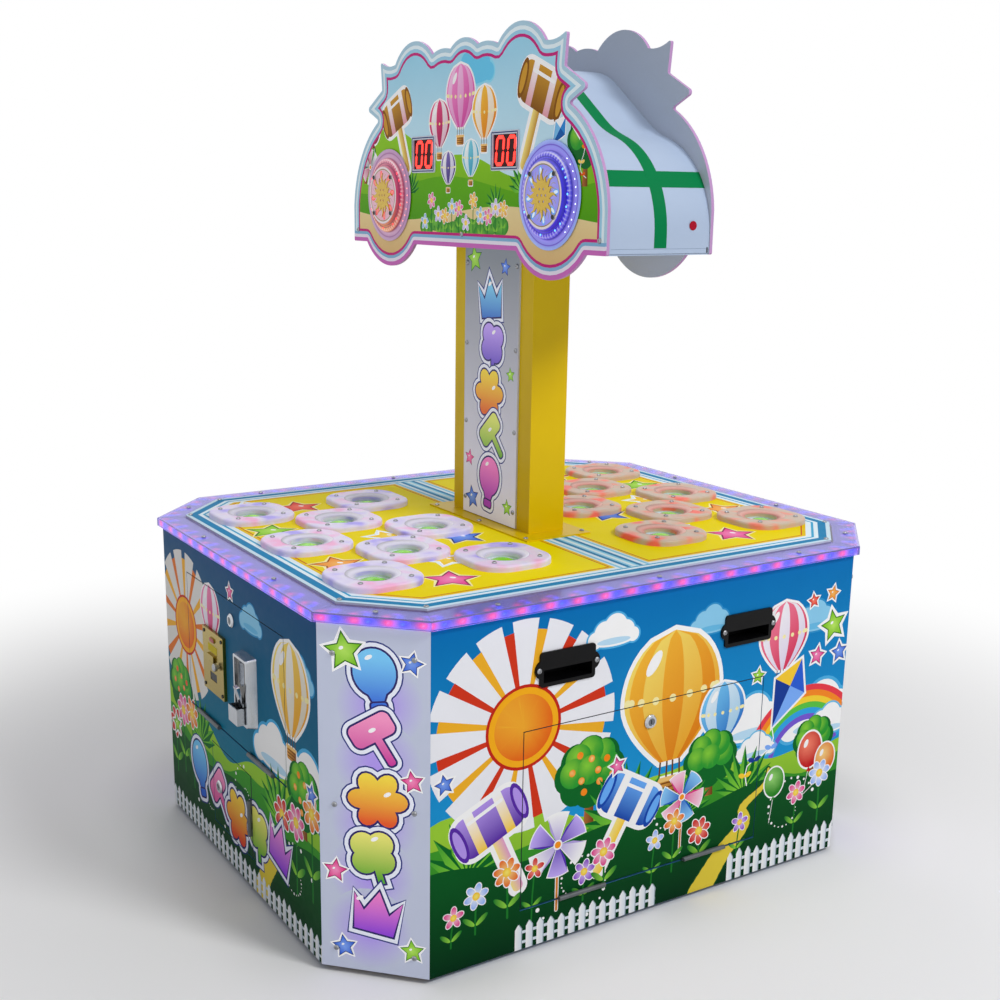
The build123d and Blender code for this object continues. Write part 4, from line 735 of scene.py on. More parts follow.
@dataclass
class Artwork:
    """A printed film drawn as shapes laid over each other, then cut into one sheet of triangles."""

    outline: Outline
    ground: Ink
    pitch: float = 26.0
    film: float = 0.12
    shapes: list = field(default_factory=list)
    cuts: list = field(default_factory=list)
    places: Outline = field(default_factory=list)

    def lay(self, *shapes: Shape) -> None:
        """Lay shapes over what is there."""
        for outline, ink in shapes:
            self.shapes.append((ccw(outline), ink if isinstance(ink, Ink) else Ink(ink)))

    def draw(self, *motifs: "Motif") -> None:
        """Lay the shapes of some motifs."""
        for motif in motifs:
            self.lay(*motif.shapes())

    def windows(self, outlines: Iterable[Outline]) -> None:
        """Cut holes, also through what was set apart before."""
        self.cuts += [(ccw(outline), None) for outline in outlines]

    def leaf(self, outline: Outline, name: str) -> None:
        """Set an area apart, so that it can ride on a body of its own."""
        self.cuts.append((ccw(outline), name))

    def helpers(self) -> list[Point]:
        """Spread points over the print, so that its colours run smoothly.

        Returns:
            The points, in rows.
        """
        xs, ys = zip(*self.outline)
        across = int((max(xs) - min(xs)) / self.pitch)
        up = int((max(ys) - min(ys)) / self.pitch)
        return [(min(xs) + self.pitch * (i + 0.5 + 0.25 * (j % 2)), min(ys) + self.pitch * (j + 0.5))
                for i in range(across) for j in range(up)]

    def sheets(self) -> dict[str, list]:
        """Cut the print into triangles, each in the colour of its topmost shape.

        Returns:
            For each area that was set apart, and "" for the rest, its triangles as lists of a place
            and a colour for each corner.
        """
        layers = [(ccw(self.outline), self.ground)] + self.shapes
        points, faces = [], []
        for polygon, _ in layers + self.cuts:
            faces.append(list(range(len(points), len(points) + len(polygon))))
            points.extend(Vector(p) for p in polygon)
        points.extend(Vector(p) for p in self.helpers())
        made, _, triangles, _, _, owners = delaunay_2d_cdt(points, [], faces, 1, 1e-4, True)
        self.places = [(p.x, p.y) for p in made]
        shown: dict[tuple[int, int], Colour] = {}
        sheets: dict[str, list] = {}
        for triangle, owner in zip(triangles, owners):
            cuts = [number for number in owner if number >= len(layers)]
            name: Optional[str] = self.cuts[max(cuts) - len(layers)][1] if cuts else ""
            if 0 not in owner or name is None:
                continue
            top = max(number for number in owner if number < len(layers))
            for index in triangle:
                if (top, index) not in shown:
                    shown[(top, index)] = layers[top][1].at(self.places[index])
            sheets.setdefault(name, []).append([(index, shown[(top, index)]) for index in triangle])
        return sheets

    def print_on(self, facet: Facet, name: str, finish: Finish, slot: str,
                 bodies: Optional[dict[str, str]] = None, lift: float = 0.15) -> None:
        """Lay the finished print on a face.

        Args:
            facet: The face.
            name: Name of the piece; an area that was set apart adds its own name.
            finish: The film.
            slot: The record's material slot; not used.
            bodies: The body for each area that was set apart.
            lift: How far the film's front stands off the face.
        """
        for part, triangles in self.sheets().items():
            index: dict[int, int] = {}
            edges: dict[tuple[int, int], tuple] = {}
            faces, inks = [], []
            for triangle in triangles:
                face = [index.setdefault(spot, len(index)) for spot, _ in triangle]
                faces.append(face)
                inks.extend(ink for _, ink in triangle)
                for step in range(3):
                    edges[(face[step], face[step - 2])] = (triangle[step][1], triangle[step - 2][1])
            rim = {edge: ink for edge, ink in edges.items() if edge[::-1] not in edges}
            points = [facet.at(*self.places[spot], lift) for spot in index]
            below = {number: spot for spot, number in index.items()}
            base: dict[int, int] = {}
            for number in (number for edge in rim for number in edge):
                if number not in base:
                    base[number] = len(points)
                    points.append(facet.at(*self.places[below[number]], lift - self.film))
            for (first, last), (ink_first, ink_last) in rim.items():
                faces.append([last, first, base[first], base[last]])
                inks.extend((ink_last, ink_first, ink_first, ink_last))
            full = f"{name}_{part}" if part else name
            piece(full, points, faces, finish, (bodies or {}).get(part, CABINET), inks)


class Motif:
    """Something that can be drawn on a print."""

    def shapes(self) -> Shapes:
        """Yield its shapes, from the back to the front."""
        raise NotImplementedError


@dataclass(frozen=True)
class Cloud(Motif):
    """A white cloud of round puffs with a soft blue foot."""

    centre: Point
    size: float
    white: str = "#ffffff"
    shade: str = "#bfe3fa"
    edge: str = "#6fc3ee"
    puffs: tuple = ((-0.62, -0.02, 0.26), (-0.3, 0.16, 0.36), (0.1, 0.28, 0.42), (0.45, 0.12, 0.34),
                    (0.74, -0.02, 0.22))

    def shapes(self) -> Shapes:
        """Yield an edge, a shaded foot and white puffs.

        Yields:
            Each outline and its ink.
        """
        x, y = self.centre
        s = self.size
        for grow, code in ((0.06, self.edge), (0.0, self.white)):
            for dx, dy, radius in self.puffs:
                yield (disc((x + dx * s, y + dy * s), (radius + grow) * s), code)
            yield (oval((x + 0.05 * s, y - 0.08 * s), (0.8 + grow) * s, (0.2 + grow) * s), code)
        yield (oval((x + 0.05 * s, y - 0.12 * s), 0.6 * s, 0.1 * s), self.shade)


@dataclass(frozen=True)
class StarColours:
    """The middle, the light and the line of a star."""

    colour: str
    light: str
    dark: str


PINK = StarColours("#e8338c", "#ff9ccb", "#7a1148")
BLUE = StarColours("#2f62d8", "#8fb6ff", "#14286e")
GREEN = StarColours("#7cc81e", "#c4f06a", "#2b6a10")
RED = StarColours("#e5252c", "#ff8a70", "#8a1018")
ORANGE = StarColours("#f58a1c", "#ffc872", "#a04c0a")
PALE_GOLD = StarColours("#f6c800", "#fbe060", "#ffffff")


@dataclass(frozen=True)
class Star(Motif):
    """A star with a thick pale edge, a dark line and a light middle."""

    tint: StarColours
    x: float
    y: float
    radius: float
    turn: float = 0.0
    edge_share: float = 1.42
    edge: str = "#ffffff"

    def shapes(self) -> Shapes:
        """Yield the edge, the line, the star and its shine.

        Yields:
            Each outline and its ink.
        """
        centre, r = (self.x, self.y), self.radius
        if self.edge_share > 1.15:
            yield (star(centre, r * self.edge_share, self.turn, 0.55), self.edge)
        yield (star(centre, r * 1.1, self.turn), self.tint.dark)
        yield (star(centre, r * 0.95, self.turn), bloom(self.tint.light, self.tint.colour, centre, r * 0.8))
        yield (oval((self.x - r * 0.14, self.y + r * 0.16), r * 0.13, r * 0.09, 30, 12), "#ffffff")


@dataclass(frozen=True)
class AirBalloon(Motif):
    """A striped hot-air balloon with ropes and a woven basket."""

    centre: Point
    radius: float
    stripes: tuple
    gores: int = 7
    steps: int = 16

    def half_width(self, share: float) -> float:
        """Find the envelope's half width.

        Args:
            share: How far down it, as a share of its height.

        Returns:
            The half width.
        """
        if share < 0.5:
            return self.radius * math.sqrt(max(0.0, 1 - (1 - share / 0.5) ** 2))
        fall = (share - 0.5) / 0.5
        return self.radius * (1 - 0.78 * fall ** 1.7)

    def outline(self, left: float, right: float) -> Outline:
        """Draw the part of the envelope between two lines down it.

        Args:
            left: Where the left line runs, as a share of the half width.
            right: Where the right line runs.

        Returns:
            The outline.
        """
        x, y = self.centre
        rows = [(self.half_width(s / self.steps), y + self.radius * (1 - 2.25 * s / self.steps))
                for s in range(self.steps + 1)]
        return [(x + left * wide, rise) for wide, rise in rows] + [
            (x + right * wide, rise) for wide, rise in reversed(rows)]

    def shapes(self) -> Shapes:
        """Yield the edge, ropes, basket, gores and a band of dots.

        Yields:
            Each outline and its ink.
        """
        x, y = self.centre
        r = self.radius
        mouth, floor = y - 1.25 * r, y - 1.72 * r
        yield (grown(self.outline(-1.0, 1.0), 0.08 * r), "#ffffff")
        yield (rounded((x, floor), 0.62 * r, 0.44 * r, 0.1 * r), "#ffffff")
        for way in (-1, -0.3, 0.3, 1):
            yield from line([(x + way * 0.2 * r, mouth), (x + way * 0.22 * r, floor + 0.1 * r)], 0.035 * r,
                            "#6a3f18")
        yield (rounded((x, floor), 0.5 * r, 0.32 * r, 0.07 * r),
               fade("#e9a94c", "#8d4f1c", (x - 0.25 * r, floor), (x + 0.25 * r, floor)))
        for row in (-0.08, 0.0, 0.08):
            level = floor + row * r
            yield from line([(x - 0.22 * r, level), (x + 0.22 * r, level)], 0.025 * r, "#7a4214")
        yield (rounded((x, floor + 0.15 * r), 0.56 * r, 0.08 * r, 0.035 * r), "#f6c878")
        for gore in range(self.gores):
            left, right = (math.sin(math.pi * (edge / self.gores - 0.5)) for edge in (gore, gore + 1))
            light, dark = self.stripes[gore % len(self.stripes)]
            yield (self.outline(left, right), fade(light, dark, (x - 0.7 * r, y + r), (x + r, y - 0.8 * r)))
        for index in range(9):
            spot = math.sin(math.pi * (index / 8 - 0.5)) * 0.93
            yield (disc((x + spot * r, y - 0.16 * r * math.cos(spot)), 0.07 * r, 12), "#fff3b0")
        yield (oval((x - 0.42 * r, y + 0.5 * r), 0.1 * r, 0.24 * r, -35, 16), "#ffffff")


@dataclass(frozen=True)
class Sunburst(Motif):
    """A sun with two rings of rays in changing colours."""

    centre: Point
    radius: float
    rays: int
    outer: tuple
    core: tuple = ("#ffc83a", "#ee6a1c")

    def shapes(self) -> Shapes:
        """Yield the rays and the round core.

        Yields:
            Each outline and its ink.
        """
        x, y = self.centre
        r = self.radius
        for index in range(2 * self.rays):
            middle = 180 * index / self.rays
            share, reach = ((1.42, 1.0), (0.62, 0.9))[index % 2]
            half = 90 / self.rays * share
            wedge = [self.centre] + arc(self.centre, r * reach, middle - half, middle + half, 4)
            yield (wedge, self.outer[index % len(self.outer)])
        for share, ink in ((0.4, "#c8281c"), (0.37, "#ffb41f"),
                           (0.31, bloom(*self.core, (x - 0.1 * r, y + 0.1 * r), 0.4 * r))):
            yield (disc(self.centre, r * share, 40), ink)


@dataclass(frozen=True)
class Rainbow(Motif):
    """Bands of colour along an arc."""

    centre: Point
    radius: float
    band: float
    start: float
    end: float
    colours: tuple = ("#f0424f", "#ff8f2a", "#ffd93b", "#5fc94a", "#35a8e8", "#7a5bd6")

    def shapes(self) -> Shapes:
        """Yield one band inside another.

        Yields:
            Each outline and its ink.
        """
        for index, colour in enumerate(self.colours):
            outer = self.radius - index * self.band
            yield (arc(self.centre, outer, self.start, self.end, 40)
                   + arc(self.centre, outer - self.band, self.end, self.start, 40), colour)


@dataclass(frozen=True)
class Flower(Motif):
    """A flower on a stem with two leaves."""

    foot: Point
    height: float
    radius: float
    petal: tuple
    petals: int
    lean: float = 0.0
    heart: str = "#ffc61e"

    def shapes(self) -> Shapes:
        """Yield the stem, the leaves, the petals and the heart.

        Yields:
            Each outline and its ink.
        """
        x, y = self.foot
        r = self.radius
        top = (x + self.lean, y + self.height)
        yield from line([self.foot, (x + 0.2 * self.lean, y + 0.5 * self.height), top], 0.16 * r, "#1f7a2c")
        for way in (-1, 1):
            spot = (x + way * 0.55 * r, y + 0.36 * self.height)
            yield (oval(spot, 0.62 * r, 0.2 * r, way * 38, 14),
                   fade("#9be04a", "#1d8030", (x, spot[1]), (x + way * r, spot[1])))
        for index in range(self.petals):
            angle = 360 * index / self.petals + 15
            spot = spoke(top, 0.58 * r, angle)
            yield (oval(spot, 0.5 * r, 0.33 * r, angle, 14), "#ffffff")
            yield (oval(spot, 0.42 * r, 0.26 * r, angle, 14), bloom(*self.petal, top, r))
        yield (disc(top, 0.32 * r, 14), bloom("#fff27a", self.heart, top, 0.34 * r))


@dataclass(frozen=True)
class Tree(Motif):
    """A round tree of leafy clumps, with berries if it has any."""

    foot: Point
    height: float
    radius: float
    dark: str = "#0f6a2a"
    middle: str = "#2f9e35"
    light: str = "#8fd63f"
    berry: str = ""
    berries: int = 9

    def shapes(self) -> Shapes:
        """Yield the trunk, clumps from dark to light, and berries along a spiral.

        Yields:
            Each outline and its ink.
        """
        x, y = self.foot
        r = self.radius
        top = y + self.height
        trunk = [(x - 0.16 * r, y), (x + 0.16 * r, y), (x + 0.1 * r, top), (x - 0.1 * r, top)]
        yield (trunk, fade("#b5713a", "#6d3c17", (x - 0.16 * r, y), (x + 0.16 * r, y)))
        ring = oval((0.0, 0.0), 0.62, 0.5, 0.0, 8)
        for dx, dy in ring:
            yield (disc((x + dx * r, top + dy * r), 0.48 * r, 20), self.dark)
        for dx, dy in ring[:5] + [(0.0, 0.0)]:
            spot = (x + 0.85 * dx * r, top + (dy + 0.06) * r)
            sheen = bloom(self.light, self.middle, (spot[0] - 0.1 * r, spot[1] + 0.14 * r), 0.4 * r)
            yield (disc(spot, 0.4 * r, 20), sheen)
        for index in range(self.berries if self.berry else 0):
            angle = math.radians(360 * 0.618 * index)
            reach = 0.75 * r * math.sqrt((index + 1) / self.berries)
            spot = (x + reach * math.cos(angle), top + 0.8 * reach * math.sin(angle))
            yield (disc(spot, 0.1 * r, 12), bloom("#fff0a0", self.berry, spot, 0.1 * r))


@dataclass(frozen=True)
class Leaves(Motif):
    """A tuft of long pointed leaves fanned out from a foot."""

    foot: Point
    size: float
    count: int
    fan: float = 150.0
    dark: str = "#0d6b28"
    light: str = "#8edb3d"

    def shapes(self) -> Shapes:
        """Yield the leaves from the outside in, each in a dark and a light half.

        Yields:
            Each outline and its ink.
        """
        last = self.count - 1
        for index in sorted(range(self.count), key=lambda i: -abs(i - last / 2)):
            lean = (index / last - 0.5) * self.fan
            long = self.size * (0.72 + 0.28 * math.cos(math.radians(lean)))
            tip, middle = (spoke(self.foot, share * long, 90 - lean) for share in (1.0, 0.5))
            for way, ink in ((1, self.dark), (-1, fade(self.light, "#2b9a34", self.foot, tip))):
                yield ([self.foot, spoke(middle, way * 0.11 * self.size, -lean), tip], ink)


@dataclass(frozen=True)
class Mallet(Motif):
    """A toy mallet: a banded barrel head on a handle."""

    centre: Point
    size: float
    turn: float
    barrel: tuple
    band: str
    grip: str = "#ffd23a"

    def put(self, outline: Outline) -> Outline:
        """Return an outline about the barrel's middle, turned and in its place."""
        return moved(outline, self.centre, 1.0, self.turn)

    def shapes(self) -> Shapes:
        """Yield the pale edge, the handle, the barrel, its bands and its faces.

        Yields:
            Each outline and its ink.
        """
        s = self.size
        shaft = self.put(rounded((0, -0.5 * s), 0.14 * s, 1.0 * s, 0.06 * s))
        head = self.put(rounded((0, 0), 0.9 * s, 0.52 * s, 0.16 * s))
        for outline in (shaft, head):
            yield (grown(outline, 0.06 * s), "#ffffff")
        yield (shaft, fade("#ffe98a", self.grip, *self.put([(-0.07 * s, 0), (0.07 * s, 0)])))
        down = self.put([(0, 0.26 * s), (0, -0.26 * s)])
        yield (head, fade(*self.barrel, *down))
        for x in (-0.2, 0.2):
            strip = self.put(slab((x - 0.06) * s, (x + 0.06) * s, -0.26 * s, 0.26 * s))
            yield (strip, fade("#ffffff", self.band, *down))
        for way in (-1, 1):
            end = self.put([(way * 0.42 * s, 0)])[0]
            yield (oval(end, 0.09 * s, 0.25 * s, self.turn, 18), self.barrel[1])
            yield (oval(end, 0.055 * s, 0.19 * s, self.turn, 18), self.barrel[0])
        yield (self.put(rounded((0, 0.16 * s), 0.5 * s, 0.045 * s, 0.02 * s, 2)), "#ffffff")


@dataclass(frozen=True)
class Pinwheel(Motif):
    """A toy windmill with bent sails on a stick."""

    centre: Point
    radius: float
    colours: tuple
    stick: float
    sails: int = 6
    turn: float = 10.0

    def shapes(self) -> Shapes:
        """Yield the stick, the sails with their folds, and the hub.

        Yields:
            Each outline and its ink.
        """
        x, y = self.centre
        r = self.radius
        for share, code in ((0.13, "#ffffff"), (0.08, "#d9822b")):
            yield from line([self.centre, (x, y - self.stick)], share * r, code)
        for index in range(self.sails):
            base = self.turn + 360 * index / self.sails
            edge = arc(self.centre, r, base, base + 250 / self.sails, 5)
            light, dark = self.colours[index % len(self.colours)]
            yield (grown([self.centre] + edge, 0.035 * r), "#ffffff")
            yield ([self.centre] + edge, bloom(dark, light, self.centre, r))
            fold = spoke(self.centre, 0.55 * r, base + 300 / self.sails)
            yield ([self.centre, edge[-1], fold], dark)
        for share, code in ((0.16, "#ffffff"), (0.11, "#ff9a1e")):
            yield (disc(self.centre, share * r, 16), code)


@dataclass(frozen=True)
class Kite(Motif):
    """A four-sided kite with a tail of bows."""

    centre: Point
    size: float
    turn: float
    colours: tuple

    def shapes(self) -> Shapes:
        """Yield the tail, the four cloth quarters and the bows.

        Yields:
            Each outline and its ink.
        """
        s = self.size
        corners = [(0, s), (0.62 * s, 0.2 * s), (0, -s), (-0.62 * s, 0.2 * s)]
        tail = [(0.28 * s * math.sin(k * 0.9), -s - 0.24 * s * k) for k in range(8)]
        corners, tail, (middle,) = (moved(path, self.centre, 1.0, self.turn)
                                    for path in (corners, tail, [(0, 0.2 * s)]))
        yield from line(tail, 0.035 * s, "#ffffff")
        yield (grown(corners, 0.065 * s), "#ffffff")
        for colour, first, last in zip(self.colours, corners, corners[1:] + corners[:1]):
            yield ([middle, first, last], colour)
        for index in (2, 4, 6):
            for way in (-1, 1):
                yield (oval((tail[index][0] + way * 0.11 * s, tail[index][1]), 0.12 * s, 0.07 * s,
                            way * 20, 12), self.colours[index // 2])


@dataclass(frozen=True)
class Pickets(Motif):
    """A white picket fence."""

    left: float
    right: float
    height: float
    foot: float = -6.0
    pitch: float = 19.0
    pale: float = 11.0
    side: float = 1.6

    def shapes(self) -> Shapes:
        """Yield two rails and the pointed pales, each with a grey side.

        Yields:
            Each outline and its ink.
        """
        for share in (0.3, 0.62):
            rise = self.foot + share * self.height
            yield (slab(self.left, self.right, rise, rise + 0.09 * self.height), "#dfe9f2")
        for index in range(int((self.right - self.left) / self.pitch) + 1):
            x = self.left + index * self.pitch
            top = self.foot + self.height * (0.94 + 0.06 * math.sin(index * 1.3))
            shape = [(x, self.foot), (x + self.pale, self.foot), (x + self.pale, top - 0.16 * self.height),
                     (x + self.pale / 2, top), (x, top - 0.16 * self.height)]
            yield ([(a + self.side, b) for a, b in shape], "#9fb4bd")
            yield (shape, fade("#ffffff", "#e3ecf6", (x, 0), (x + self.pale, 0)))


@dataclass(frozen=True)
class Swirl(Motif):
    """White dots that shrink along a spiral."""

    centre: Point
    radius: float
    start: float
    turns: float
    dots: int
    size: float

    def shapes(self) -> Shapes:
        """Yield the dots from the outside in, every third one larger.

        Yields:
            Each outline and its ink.
        """
        for index in range(self.dots):
            share = index / (self.dots - 1)
            reach = self.radius * (1 - 0.8 * share)
            spot = spoke(self.centre, reach, self.start + 360 * self.turns * share)
            size = self.size * (1.0 - 0.6 * share) * (1.0 if index % 3 else 1.5)
            yield (disc(spot, size, 10), "#ffffff")


@dataclass(frozen=True)
class Hill(Motif):
    """Ground up to a rolling line, each wave given by its height, its length and its shift."""

    left: float
    right: float
    level: float
    waves: tuple
    top: str
    foot: str
    floor: float = 0.0
    steps: int = 48

    def shapes(self) -> Shapes:
        """Yield the ground down to below the print's lower edge.

        Yields:
            Each outline and its ink.
        """
        ridge = []
        for index in range(self.steps + 1):
            x = self.left + (self.right - self.left) * index / self.steps
            rise = sum(high * math.sin(2 * math.pi * x / long + shift) for high, long, shift in self.waves)
            ridge.append((x, self.level + rise))
        yield ([(self.left, self.floor - 60)] + ridge + [(self.right, self.floor - 60)],
               fade(self.foot, self.top, (0, self.floor), (0, self.level)))


@dataclass(frozen=True)
class ToyBalloon(Motif):
    """A party balloon on a string."""

    centre: Point
    radius: float
    light: str
    dark: str
    hand: Point

    def shapes(self) -> Shapes:
        """Yield the string, the balloon with its lower half darker, and its shine.

        Yields:
            Each outline and its ink.
        """
        x, y = self.centre
        r = self.radius
        yield from line([(x, y - 1.2 * r), self.hand], 1.3, "#f2f2f2")
        yield (oval(self.centre, 1.06 * r, 1.28 * r), "#ffffff")
        yield (oval(self.centre, 0.94 * r, 1.16 * r),
               bloom(self.light, self.dark, (x - 0.2 * r, y + 0.35 * r), 1.3 * r))
        yield ([(x, y - 1.1 * r), (x + 0.2 * r, y - 1.4 * r), (x - 0.2 * r, y - 1.4 * r)], self.dark)
        yield (oval((x - 0.35 * r, y + 0.45 * r), 0.16 * r, 0.28 * r, -25, 14), "#ffffff")


@dataclass(frozen=True)
class Halo(Motif):
    """A soft patch of light from behind, that fades into the paper's colour."""

    centre: Point
    radius: float
    colour: str
    paper: str

    def shapes(self) -> Shapes:
        """Yield rings from the outside in, so that the fade is smooth.

        Yields:
            Each outline and its ink.
        """
        for share in (1.0, 0.82, 0.64, 0.46, 0.28):
            yield (disc(self.centre, share * self.radius, 32),
                   bloom(self.colour, self.paper, self.centre, self.radius))


class Emblem(Enum):
    """The shapes on the corner plates and the column's signs."""

    BALLOON = "balloon"
    HAMMER = "hammer"
    BLOOM = "bloom"
    CLOVER = "clover"
    CROWN = "crown"


@dataclass(frozen=True)
class Badge(Motif):
    """A bright emblem with a dark line, a white edge and a thin outer line."""

    kind: Emblem
    centre: Point
    size: float
    light: str
    dark: str
    turn: float = 0.0

    def parts(self) -> list[Outline]:
        """Draw the emblem about the origin.

        Returns:
            Its outlines, in shares of its size.
        """
        if self.kind is Emblem.BALLOON:
            return [oval((0, 0.14), 0.36, 0.4), [(-0.16, -0.2), (0.16, -0.2), (0.1, -0.34), (-0.1, -0.34)],
                    rounded((0, -0.44), 0.26, 0.14, 0.04)]
        if self.kind is Emblem.HAMMER:
            return [moved(rounded((0, -0.3), 0.13, 0.72, 0.05), (0, 0.18), 1.0, 38),
                    moved(rounded((0, 0), 0.78, 0.4, 0.12), (-0.02, 0.18), 1.0, 38)]
        if self.kind is Emblem.BLOOM:
            return [oval(spoke((0, 0), 0.3, 60 * k), 0.21, 0.17, 60 * k, 16) for k in range(6)] + [
                disc((0, 0), 0.2)]
        if self.kind is Emblem.CLOVER:
            return [disc(spoke((0, 0.08), 0.21, 90 * k + 45), 0.22, 20) for k in range(4)] + [
                [(-0.04, 0.05), (0.05, 0.05), (0.16, -0.46), (0.05, -0.48)]]
        return [[(-0.42, 0.3), (-0.22, 0.02), (0.0, 0.42), (0.22, 0.02), (0.42, 0.3), (0.34, -0.34),
                 (-0.34, -0.34)]]

    def shapes(self) -> Shapes:
        """Yield the lines from the widest in, the emblem and its shine.

        Yields:
            Each outline and its ink.
        """
        shapes = [moved(ccw(part), self.centre, self.size, self.turn) for part in self.parts()]
        for by, colour in ((0.125, "#27337e"), (0.1, "#eef2ff"), (0.035, "#2c2468")):
            for shape in shapes:
                yield (grown(shape, by * self.size), colour)
        x, y = self.centre
        for shape in shapes:
            yield (shape, fade(self.dark, self.light, (x, y - 0.4 * self.size), (x, y + 0.4 * self.size)))
        high = max(shapes[0], key=lambda p: p[1] - 0.4 * p[0])
        spot = (0.75 * high[0] + 0.25 * x, 0.75 * high[1] + 0.25 * y)
        yield (oval(spot, 0.07 * self.size, 0.035 * self.size, 30, 12), "#ffffff")


def badge_column(art: Artwork, middle: float, top: float, pitch: float, size: float, badges: tuple) -> None:
    """Lay badges under each other, by the kind, both colours, the shift and the turn of each."""
    for index, (kind, light, dark, shift, turn) in enumerate(badges):
        art.draw(Badge(kind, (middle + shift, top - pitch * index), size, light, dark, turn))


def plates(name: str, facet: Facet, outlines: Iterable[Outline], low: float, high: float, finish: Finish,
           colour: str = "#ffffff", body: str = CABINET) -> None:
    """Make flat plates of one thickness on a face.

    Args:
        name: Name of the piece.
        facet: The face.
        outlines: The outline of each plate.
        low: How far their backs stand off the face.
        high: How far their fronts stand off the face.
        finish: What they are made of.
        colour: Their colour, where the finish takes it from the mesh.
        body: The body that they move with.
    """
    points, faces = [], []
    for outline in map(ccw, outlines):
        first, count = len(points), len(outline)
        points += [facet.at(*spot, lift) for lift in (low, high) for spot in outline]
        faces.append(list(range(first + count - 1, first - 1, -1)))
        faces.append(list(range(first + count, first + 2 * count)))
        for index in range(count):
            after = (index + 1) % count
            faces.append([first + index, first + after, first + count + after, first + count + index])
    piece(name, points, faces, finish, body, [linear(colour)] * sum(map(len, faces)))


def lathe(name: str, facet: Facet, centre: Point, profile: list[Point], sides: int, finish: Finish,
          paint: Callable[[float, float], Colour]) -> None:
    """Make a thin skin turned about a point on a face, along a profile of radius and lift.

    Args:
        name: Name of the piece.
        facet: The face.
        centre: Where the axis meets the face.
        profile: Radius and lift of the skin's front, from the inside out.
        sides: Steps round the axis.
        finish: What it is made of.
        paint: Gives the colour at a radius and an angle in degrees.
    """
    skin = 0.12
    ring = profile + [(radius, lift - skin) for radius, lift in reversed(profile)]
    points = [facet.at(*spoke(centre, radius, 360 * side / sides), lift)
              for side in range(sides) for radius, lift in ring]
    faces, inks = [], []
    for side in range(sides):
        for index in range(len(ring)):
            step = (index + 1) % len(ring)
            corners = ((side, step), (side + 1, step), (side + 1, index), (side, index))
            faces.append([turn % sides * len(ring) + spot for turn, spot in corners])
            inks += [paint(ring[spot][0], 360 * turn / sides) for turn, spot in corners]
    piece(name, points, faces, finish, CABINET, inks, smooth=True)


def shoelace(loop: Outline) -> float:
    """Return twice the area inside a loop."""
    return abs(sum(a[0] * b[1] - b[0] * a[1] for a, b in zip(loop, loop[1:] + loop[:1])))


def loops_on(facet: Facet, node: str) -> list[Outline]:
    """Find the edges of a CAD node's skin that lies in a face.

    Args:
        facet: The face.
        node: The CAD node.

    Returns:
        The edges, the outermost first.
    """
    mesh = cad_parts[node].data
    links = set()
    for polygon in mesh.polygons:
        if polygon.normal.dot(facet.out) < 0.99:
            continue
        offsets = [(mesh.vertices[index].co - facet.corner) / MM for index in polygon.vertices]
        if max(abs(offset.dot(facet.out)) for offset in offsets) > 0.1:
            continue
        ring = [(round(o.dot(facet.right), 2), round(o.dot(facet.up), 2)) for o in offsets]
        links.update(zip(ring, ring[1:] + ring[:1]))
    border = {first: last for first, last in links if (last, first) not in links}
    loops = []
    while border:
        start, spot = border.popitem()
        loop = [start]
        while spot != start and spot in border:
            loop.append(spot)
            spot = border.pop(spot)
        loops.append(loop)
    return sorted(loops, key=shoelace, reverse=True)


def film_on(facet: Facet, node: str, ground: Ink, pitch: float = 26.0) -> Artwork:
    """Start a print that covers a CAD node's face and keeps its holes open.

    Args:
        facet: The face.
        node: The CAD node.
        ground: The print's first colour.
        pitch: How close the points stand at which its colours are taken.

    Returns:
        The print.
    """
    skin, *holes = loops_on(facet, node)
    art = Artwork(skin, ground, pitch)
    art.windows(holes)
    return art


def simpler(path: Outline, slack: float) -> Outline:
    """Leave out the points of an open path that hardly matter.

    Args:
        path: The path.
        slack: How far a point may lie off the line of the rest.

    Returns:
        The path with fewer points.
    """
    first, last = path[0], path[-1]
    long = math.dist(first, last)
    worst, where = 0.0, 0
    for index in range(1, len(path) - 1):
        x, y = path[index]
        if long < 1e-6:
            off = math.dist(path[index], first)
        else:
            off = abs((last[0] - first[0]) * (first[1] - y) - (first[0] - x) * (last[1] - first[1])) / long
        if off > worst:
            worst, where = off, index
    if worst <= slack:
        return [first, last]
    return simpler(path[:where + 1], slack)[:-1] + simpler(path[where:], slack)


RIGHT, LEFT, REAR, OVER = (Vector(v) for v in ((1, 0, 0), (-1, 0, 0), (0, 1, 0), (0, 0, 1)))


def middle_of(node: str) -> Vector:
    """Return the middle of a CAD node's box."""
    low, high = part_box(node)
    return (low + high) / 2


def cabinet_facets() -> dict[str, Facet]:
    """Find the eight upright faces of the cabinet.

    Returns:
        Each face by its name, from its lower left corner.
    """
    side_low, side_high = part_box("side_panels")
    end_low, end_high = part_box("end_panels")
    ring = [(side_high.x, side_low.y), (side_high.x, side_high.y), (end_high.x, end_high.y),
            (end_low.x, end_high.y), (side_low.x, side_high.y), (side_low.x, side_low.y),
            (end_low.x, end_low.y), (end_high.x, end_low.y)]
    names = ("right", "rear_right", "rear", "rear_left", "left", "front_left", "front", "front_right")
    made = {}
    for name, first, last in zip(names, ring, ring[1:] + ring[:1]):
        start = Vector((*first, side_low.z))
        along = Vector((*last, side_low.z)) - start
        made[name] = Facet(start, along.normalized(), OVER, along.length / MM,
                           (side_high.z - side_low.z) / MM)
    return made


def dress(finishes: dict[str, Finish]) -> None:
    """Give CAD nodes their finishes.

    Args:
        finishes: The finish of each node.
    """
    for name, finish in finishes.items():
        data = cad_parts[name].data
        if not data.materials:
            data.materials.append(finish.material())
        for index in range(len(data.materials)):
            data.materials[index] = finish.material()


